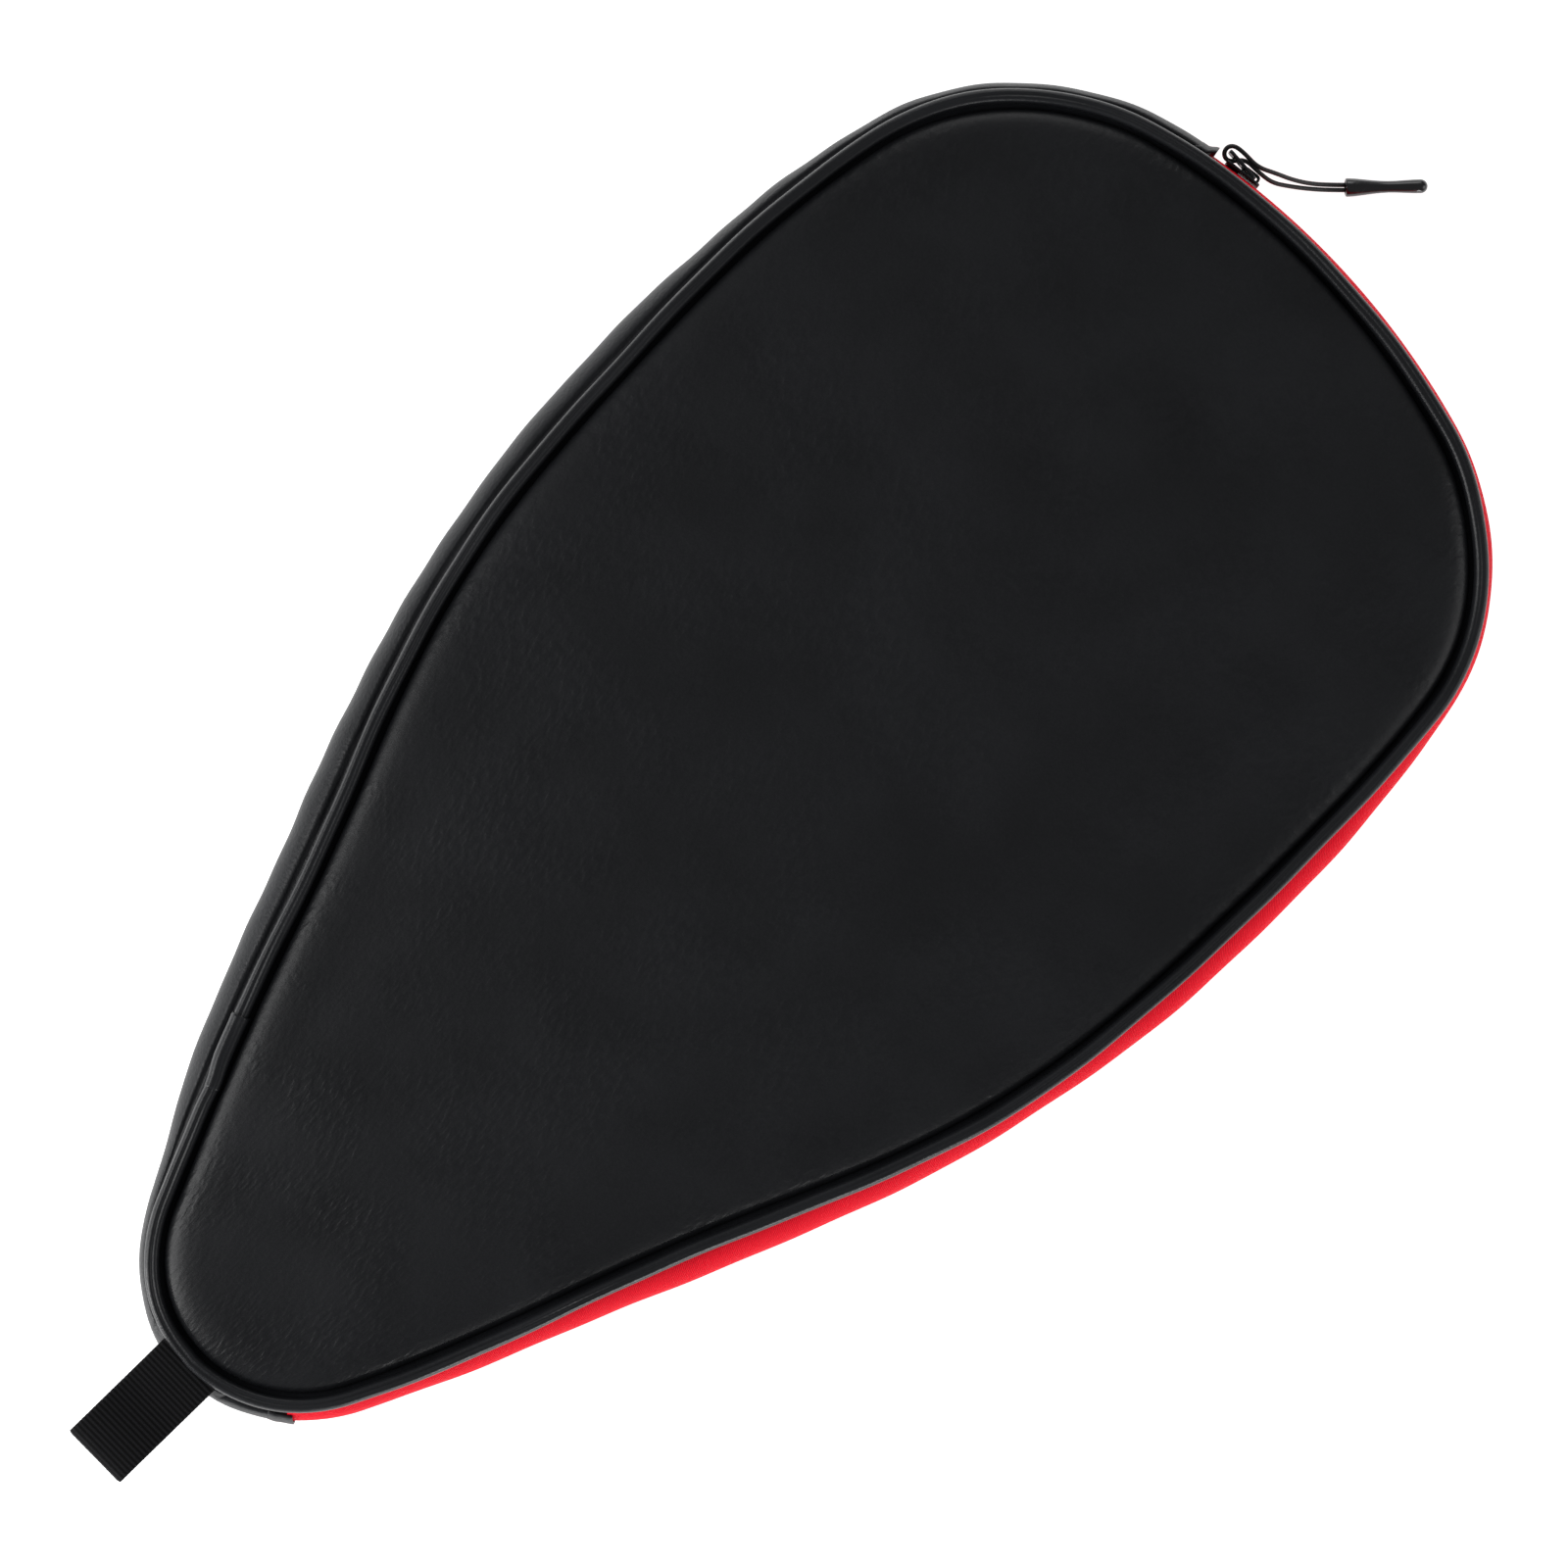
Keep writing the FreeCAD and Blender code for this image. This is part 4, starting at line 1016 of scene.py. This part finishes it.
def repeat_along(name, line, shape, spacing, offset, material):
    """Copies of a small shape along a line, made by a node tree, as a plain mesh."""
    tree = bpy.data.node_groups.new("repeat_along_line", "GeometryNodeTree")
    face = tree.interface
    face.new_socket("Geometry", in_out="INPUT", socket_type="NodeSocketGeometry")
    inputs = {}
    for label, kind, value in (
            ("Shape", "NodeSocketObject", shape), ("Spacing", "NodeSocketFloat", spacing),
            ("Start", "NodeSocketFloat", offset), ("Finish", "NodeSocketMaterial", material)):
        inputs[label] = (face.new_socket(label, in_out="INPUT", socket_type=kind), value)
    face.new_socket("Geometry", in_out="OUTPUT", socket_type="NodeSocketGeometry")
    nodes, links = tree.nodes, tree.links
    made = {key: nodes.new(kind) for key, kind in (
        ("in", "NodeGroupInput"), ("trim", "GeometryNodeTrimCurve"), ("points", "GeometryNodeCurveToPoints"),
        ("info", "GeometryNodeObjectInfo"), ("put", "GeometryNodeInstanceOnPoints"),
        ("real", "GeometryNodeRealizeInstances"), ("finish", "GeometryNodeSetMaterial"),
        ("smooth", "GeometryNodeSetShadeSmooth"), ("out", "NodeGroupOutput"))}
    made["trim"].mode = "LENGTH"
    for socket in made["trim"].inputs:
        if socket.name == "End" and socket.type == "VALUE":
            socket.default_value = 10.0
    made["points"].mode = "LENGTH"
    starts = [socket for socket in made["trim"].inputs if socket.name == "Start"]
    lengths = [socket for socket in made["points"].inputs if socket.name == "Length"]
    links.new(made["in"].outputs["Geometry"], made["trim"].inputs[0])
    for socket in starts:
        links.new(made["in"].outputs["Start"], socket)
    links.new(made["trim"].outputs[0], made["points"].inputs[0])
    for socket in lengths:
        links.new(made["in"].outputs["Spacing"], socket)
    links.new(made["points"].outputs["Points"], made["put"].inputs["Points"])
    links.new(made["in"].outputs["Shape"], made["info"].inputs["Object"])
    links.new(made["info"].outputs["Geometry"], made["put"].inputs["Instance"])
    links.new(made["points"].outputs["Rotation"], made["put"].inputs["Rotation"])
    links.new(made["put"].outputs[0], made["real"].inputs[0])
    links.new(made["real"].outputs[0], made["smooth"].inputs[0])
    links.new(made["smooth"].outputs[0], made["finish"].inputs[0])
    links.new(made["in"].outputs["Finish"], made["finish"].inputs["Material"])
    links.new(made["finish"].outputs[0], made["out"].inputs[0])

    curve = bpy.data.curves.new(name, "CURVE")
    curve.dimensions = "3D"
    curve.twist_mode = "Z_UP"
    spline = curve.splines.new("POLY")
    spline.points.add(len(line) - 1)
    for point, place in zip(spline.points, line):
        point.co = (*(Vector(place) * MM), 1.0)
    guide = bpy.data.objects.new(name + "_guide", curve)
    bpy.context.scene.collection.objects.link(guide)
    modifier = guide.modifiers.new("Repeat", "NODES")
    modifier.node_group = tree
    for socket, value in inputs.values():
        modifier[socket.identifier] = value
    return settle(guide, name)


def zip_line(start, end, depth, height, spacing=1.5):
    """Points along the zip at a depth below the tape's face and a height."""
    stations = np.linspace(start, end, int((end - start) / spacing) + 1)
    place, out = seam(stations)
    bulges = np.array([zip_bulge(station) for station in stations])
    points = place + out * (bulges - depth)[:, None]
    return [(x, y, height) for x, y in points]


def tooth(side):
    """One turn of the coil: a flattened loop whose head reaches just past the middle of the zip."""
    rows = []
    for share, half, depth in ((0.0, 0.24, 0.62), (0.12, 0.36, 0.85), (0.3, 0.33, 0.9), (0.8, 0.3, 0.92),
                               (1.0, 0.26, 0.7)):
        reach = side * (-0.45 + 3.6 * share)
        rows.append([(half * math.cos(a), depth * math.sin(a), reach)
                     for a in np.linspace(0, 2 * math.pi, 7)[:-1]])
    return strip("tooth", rows)


def make_zip(shape):
    """Both tapes, both rows of teeth and the stops."""
    front = sweep("zip_tape_front_half", tape_section(True), ZIP_TAIL, ZIP_HEAD)
    finish_piece(front, FINISHES["tape"], fold=True,
                 replaces=["zip_tape_front", "zip_tape_front_tail_end", "zip_tape_front_head_end"])
    back = sweep("zip_tape_back_half", tape_section(False), ZIP_TAIL, ZIP_HEAD)
    finish_piece(back, FINISHES["tape"], "shell", ["zip_tape_back"])

    line = zip_line(ZIP_TAIL + 3.4, ZIP_HEAD - 3.4, TAPE + 1.02, MID_HEIGHT)
    for side, start in (("front", 0.0), ("back", shape.tooth_pitch / 2)):
        one = tooth(1 if side == "front" else -1)
        teeth = repeat_along("zip_teeth_" + side, line, one, shape.tooth_pitch, start, FINISHES["teeth"])
        drop(one)
        if side == "front":
            finish_piece(teeth, FINISHES["teeth"], fold=True,
                         replaces=["zip_coil_front", "zip_coil_front_tail_end", "zip_coil_front_head_end"])
        else:
            finish_piece(teeth, FINISHES["teeth"], "shell", ["zip_coil_back"])
    for name, station in (("tail", ZIP_TAIL), ("head", ZIP_HEAD - 3.0)):
        bulge = zip_bulge(station + 1.5)
        inner = bulge - TAPE - 2.1
        corners = [(inner + 1.95, 17.1), (inner + 1.95, 20.9), (inner + 1.2, 21.0), (inner + 0.3, 20.7),
                   (inner, 20.0), (inner, 18.0), (inner + 0.3, 17.3), (inner + 1.2, 17.0)]
        stop = sweep("zip_end_stop_" + name, lambda s: corners, station, station + 3.0, 0.5)
        finish_piece(stop, FINISHES["stop"], "shell", ["zip_stop_" + name])


# ---------------------------------------------------------------- slider and tab
def slider_place():
    """From the slider's frame, x along the zip, y outward, z up from mid height, to the case's."""
    middle = CROWN_CENTRE + Vector((-math.sin(SLIDER_ANGLE), math.cos(SLIDER_ANGLE))) * CROWN_RADIUS
    shift = Matrix.Translation(Vector((middle.x, middle.y, MID_HEIGHT)) * MM)
    return shift @ Matrix.Rotation(SLIDER_ANGLE, 4, "Z")


def flat_plate(name, outline_points, holes, thickness, round_edge):
    """A plate with rounded edges in the XY plane, its holes cut through."""
    curve = bpy.data.curves.new(name, "CURVE")
    curve.dimensions = "2D"
    curve.fill_mode = "BOTH"
    curve.extrude = (thickness / 2 - round_edge) * MM
    curve.bevel_depth = round_edge * MM
    curve.bevel_resolution = 2
    curve.offset = -round_edge * MM
    for loop in (outline_points, *holes):
        spline = curve.splines.new("POLY")
        spline.points.add(len(loop) - 1)
        for point, (x, y) in zip(spline.points, loop):
            point.co = (x * MM, y * MM, 0.0, 1.0)
        spline.use_cyclic_u = True
    plate = bpy.data.objects.new(name + "_outline", curve)
    bpy.context.scene.collection.objects.link(plate)
    plate = settle(plate, name)
    work = bmesh.new()
    work.from_mesh(plate.data)
    bmesh.ops.remove_doubles(work, verts=work.verts, dist=0.002 * MM)
    bmesh.ops.recalc_face_normals(work, faces=work.faces)
    work.to_mesh(plate.data)
    work.free()
    plate.data.shade_smooth()
    return plate


def rounded(x0, x1, half0, half1, corner, steps=5):
    """A four-cornered outline with rounded corners, half0 wide at x0 and half1 at x1."""
    points = []
    for cx, cy, first in ((x1 - corner, half1 - corner, 0), (x0 + corner, half0 - corner, 90),
                          (x0 + corner, -half0 + corner, 180), (x1 - corner, -half1 + corner, 270)):
        for k in range(steps + 1):
            a = math.radians(first + 90 * k / steps)
            points.append((cx + corner * math.cos(a), cy + corner * math.sin(a)))
    return points


def joined(name, pieces):
    """Several pieces as one mesh."""
    work = bmesh.new()
    for piece in pieces:
        work.from_mesh(piece.data)
    mesh = bpy.data.meshes.new(name)
    work.to_mesh(mesh)
    work.free()
    for piece in pieces:
        drop(piece)
    mesh.shade_smooth()
    made = bpy.data.objects.new(name, mesh)
    bpy.context.scene.collection.objects.link(made)
    return made


UPRIGHT = Matrix.Rotation(math.radians(90), 4, "X")     # a plate made in XY, stood in XZ


def block_bar(name, points, half, thick):
    """A bar of rounded rectangular section that follows points in the slider's XY plane."""
    rows = []
    points = [Vector(p) for p in points]
    for i, point in enumerate(points):
        along = (points[min(i + 1, len(points) - 1)] - points[max(i - 1, 0)]).normalized()
        out = Vector((-along.y, along.x))
        ring = []
        for sx, sz, ex, ez in ((1, 1, 0.72, 1), (1, 1, 1, 0.72), (1, -1, 1, 0.72), (1, -1, 0.72, 1),
                               (-1, -1, 0.72, 1), (-1, -1, 1, 0.72), (-1, 1, 1, 0.72), (-1, 1, 0.72, 1)):
            spot = point + out * (sx * ex * thick / 2)
            ring.append((spot.x, spot.y, sz * ez * half))
        rows.append(ring)
    return strip(name, rows)


def make_slider():
    """The slider's two plates, rims and divider as one casting, and the bridge that holds the tab."""
    put = slider_place()
    outer, inner = (placed(flat_plate("slider_" + side, rounded(-6.75, 6.75, 5.4, 4.7, 1.9), [], 1.1, 0.3),
                           Matrix.Translation((0, out * MM, 0)) @ UPRIGHT)
                    for side, out in (("outer", 9.9), ("inner", 4.7)))
    post = placed(flat_plate("slider_post", rounded(-6.2, -1.3, 0.3, 0.28, 0.25, 2), [], 4.3, 0.05),
                  Matrix.Translation((0, 7.35 * MM, 0)) @ UPRIGHT)
    rims = []
    for side in (-1, 1):
        rims.append(block_bar("slider_rim", [(-4.7, 5.65), (-4.2, 5.8), (4.2, 5.8), (4.7, 5.65)], 0.4, 1.3))
        placed(rims[-1], Matrix.Translation((0, 0, side * 4.2 * MM)))
    body = placed(joined("slider_casting", [outer, inner, post, *rims]), put)
    finish_piece(body, FINISHES["slider"], "slider", ["slider_body"])

    arch = [(-0.72, 10.3), (-0.72, 11.6), (-0.55, 12.1), (-0.1, 12.42), (0.6, 12.5),
            (4.1, 12.5), (4.8, 12.42), (5.25, 12.1), (5.42, 11.6), (5.42, 10.3)]
    bridge = placed(block_bar("slider_bridge_arch", arch, 1.3, 1.0), put)
    finish_piece(bridge, FINISHES["slider"], "slider", ["slider_bridge"])

    window, hole = rounded(0.62, 5.4, 1.75, 1.75, 0.6, 3), rounded(6.3, 9.7, 1.8, 1.8, 0.9, 3)
    plate = flat_plate("pull_tab_plate", rounded(-0.6, 12.0, 3.5, 3.5, 1.3), [window, hole], 1.15, 0.25)
    turn = Matrix.Rotation(math.radians(180 - TAB_LIFT), 4, "Z")
    placed(plate, put @ Matrix.Translation((3.7 * MM, 11.2 * MM, 0)) @ turn @ UPRIGHT)
    finish_piece(plate, FINISHES["tab"], "tab", ["pull_tab"])


# ---------------------------------------------------------------- hang loop
def loop_middle():
    """The webbing's middle line as (distance out from the seam, height), from one sewn end to the other."""
    droop, reach, half = math.radians(8.0), 43.0, 3.85
    upper = [(-0.9, 0.72), (3.0, 0.72), (HINGE_OUT, 0.72), (HINGE_OUT + 6.0, 0.74), (HINGE_OUT + 11.0, 0.95)]
    upper += [(HINGE_OUT + x, 0.95 + (half - 0.95) * step(x, 11.0, 36.0))
              for x in np.linspace(13.0, 35.5, 10)]
    centre = HINGE_OUT + reach - half - 0.7
    bend = [(centre + half * math.sin(a), half * math.cos(a)) for a in np.linspace(0.15, math.pi - 0.15, 14)]
    path = upper + bend + [(x, -h) for x, h in reversed(upper)]
    out = []
    for x, h in path:
        along = x - HINGE_OUT
        if along > 0:
            x = HINGE_OUT + along * math.cos(droop) + h * math.sin(droop) * step(along, 0.0, 4.0)
            h = h - along * math.sin(droop) * step(along, 0.0, 6.0)
        out.append((x, LOOP_HEIGHT + h))
    return out


def even_line(points, spacing):
    """Points an even distance apart along a smooth line through a few points."""
    points = np.asarray(points, float)
    length = np.r_[0, np.cumsum(np.linalg.norm(np.diff(points, axis=0), axis=1))]
    count = int(length[-1] / spacing)
    marks = np.linspace(0, length[-1], count + 1)
    line = np.c_[np.interp(marks, length, points[:, 0]), np.interp(marks, length, points[:, 1])]
    for _ in range(20):
        line[1:-1] = line[1:-1] * 0.5 + (line[:-2] + line[2:]) * 0.25
    return marks, line


def make_hang_loop(shape):
    """The folded webbing loop at the tail, ribbed across, with its sewn ends under the front piping."""
    marks, line = even_line(loop_middle(), 0.33)
    pitch = shape.rib_pitch / MM
    tail = -CASE_LENGTH / 2
    across = np.linspace(-WEBBING_WIDTH / 2, WEBBING_WIDTH / 2, 25)
    rows = []
    for i, (mark, point) in enumerate(zip(marks, line)):
        along = line[min(i + 1, len(line) - 1)] - line[max(i - 1, 0)]
        along = along / np.linalg.norm(along)
        side = np.array([-along[1], along[0]])
        rib = 0.07 * math.cos(2 * math.pi * mark / pitch)
        ring = []
        for face in (1, -1):
            for k, x in enumerate(across[::face]):
                edge = 1 - 0.55 * step(abs(x), 10.9, 12.0)
                weave = 0.03 * math.cos(k * math.pi) * math.cos(math.pi * mark / pitch)
                half = (0.56 + rib + weave) * edge
                spot = point + side * face * half
                ring.append((x * (1 + 0.002 * math.cos(2 * math.pi * mark / pitch)), tail - spot[0], spot[1]))
        rows.append(ring)
    loop = strip("hang_loop_webbing", rows, marks=np.r_[marks, marks[-1]])
    loop.data.materials.append(FINISHES["webbing"])
    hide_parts("hang_loop", "hang_loop_anchor")
    hinge = tail - HINGE_OUT
    Vector((0, hinge + 1.6, LOOP_HEIGHT)) * MM
    Vector((0, hinge - 2.4, LOOP_HEIGHT)) * MM
    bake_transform(loop)


# ---------------------------------------------------------------- stage
FLOOR_HALF, FLOOR_HEIGHT = 12000, -0.3


def make_stage(look):
    """The pale floor, the soft lights and the camera straight above."""
    corners = [(x * FLOOR_HALF, y * FLOOR_HALF, FLOOR_HEIGHT)
               for x, y in ((-1, -1), (1, -1), (1, 1), (-1, 1))]
    floor = new_piece("floor", corners, [(0, 1, 2, 3)], outward=False)
    floor.data.materials.append(FINISHES["floor"])
    scene = bpy.context.scene
    scene.view_settings.view_transform = "Standard"
    scene.world = bpy.data.worlds.new("studio")
    scene.world.use_nodes = True
    ground = scene.world.node_tree.nodes["Background"]
    ground.inputs["Color"].default_value = (0.97, 0.98, 1.0, 1.0)
    ground.inputs["Strength"].default_value = look.surround

    right, up = Vector((0.6984, 0.7157, 0.0)), Vector((-0.7157, 0.6984, 0.0))
    for name, across, along, height, width, share in (
            ("key_left", -1.05, -0.1, 0.75, 0.9, 1.0), ("fill_right", 1.2, -0.15, 0.6, 0.9, 0.35),
            ("top_edge", 0.1, 1.3, 0.6, 0.8, 0.3), ("low_edge", 0.35, -1.25, 0.17, 0.4, 0.8),
            ("left_low", -1.25, -0.45, 0.17, 0.4, 0.9)):
        light = bpy.data.lights.new(name, "AREA")
        light.shape = "RECTANGLE"
        light.size, light.size_y = width, width * 0.8
        light.energy = look.key_light * share
        lamp = bpy.data.objects.new(name, light)
        lamp.location = right * across + up * along + Vector((0, 0, height))
        lamp.rotation_euler = (-lamp.location).to_track_quat("-Z", "Y").to_euler()
        scene.collection.objects.link(lamp)

    lens = bpy.data.cameras.new("camera")
    lens.lens, lens.sensor_width = 135.0, 36.0
    camera = bpy.data.objects.new("camera", lens)
    turn = Matrix((right, up, Vector((0, 0, 1)))).transposed().to_4x4()
    camera.matrix_world = Matrix.Translation((0.0, 0.01274, 1.976)) @ turn
    scene.collection.objects.link(camera)
    scene.camera = camera


# ---------------------------------------------------------------- operators and panel
def operator(name, label, words, act):
    """An operator class that runs one maker."""
    def execute(self, context):
        act(context.scene)
        return {"FINISHED"}
    return type("CASE_OT_" + name, (bpy.types.Operator,), {
        "__doc__": words, "bl_idname": "paddle_case." + name, "bl_label": label,
        "bl_options": {"REGISTER", "UNDO"}, "execute": execute})


OPERATORS = (
    operator("finishes", "Finishes", "Make the materials",
             lambda s: make_finishes(s.case_shape, s.case_finish)),
    operator("stage", "Stage", "Make the floor, lights and camera", lambda s: make_stage(s.case_finish)),
    operator("cord", "Pull cord", "Make the pull cord, its knot and its moulded end", lambda s: make_cord()),
    operator("front_panel", "Front panel", "Make the padded front", lambda s: make_front_panel(s.case_shape)),
    operator("back_panel", "Back panel", "Make the padded back", lambda s: make_back_panel()),
    operator("piping", "Piping", "Make the piping of the front and back",
             lambda s: make_piping(s.case_shape)),
    operator("side_wall", "Side wall", "Make the side wall and its folded ends", lambda s: make_side_wall()),
    operator("bindings", "Bindings", "Make the binding tapes inside", lambda s: make_bindings()),
    operator("zip", "Zip", "Make the tapes, teeth and stops", lambda s: make_zip(s.case_shape)),
    operator("slider", "Slider", "Make the slider, its bridge and the pull tab", lambda s: make_slider()),
    operator("hang_loop", "Hang loop", "Make the webbing loop at the tail",
             lambda s: make_hang_loop(s.case_shape)),
)


class CASE_PT_panel(bpy.types.Panel):
    """The case's sizes, colours and makers"""
    bl_idname = "CASE_PT_panel"
    bl_label = "Paddle case"
    bl_space_type = "VIEW_3D"
    bl_region_type = "UI"
    bl_category = "Paddle case"

    def draw(self, context):
        for group in (context.scene.case_shape, context.scene.case_finish):
            for name in group.__annotations__:
                self.layout.prop(group, name)
        for made in OPERATORS:
            self.layout.operator(made.bl_idname)


CLASSES = (CaseShape, CaseFinish, *OPERATORS, CASE_PT_panel)


def register():
    for made in CLASSES:
        bpy.utils.register_class(made)
    bpy.types.Scene.case_shape = bpy.props.PointerProperty(type=CaseShape)
    bpy.types.Scene.case_finish = bpy.props.PointerProperty(type=CaseFinish)


def unregister():
    del bpy.types.Scene.case_shape
    del bpy.types.Scene.case_finish
    for made in reversed(CLASSES):
        bpy.utils.unregister_class(made)


def main():
    """Makes every piece in order and writes the packed and the finished model's boxes."""
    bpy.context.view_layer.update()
    register()
    for made in OPERATORS:
        group, name = made.bl_idname.split(".")
        getattr(getattr(bpy.ops, group), name)()


if __name__ == "__main__":
    main()
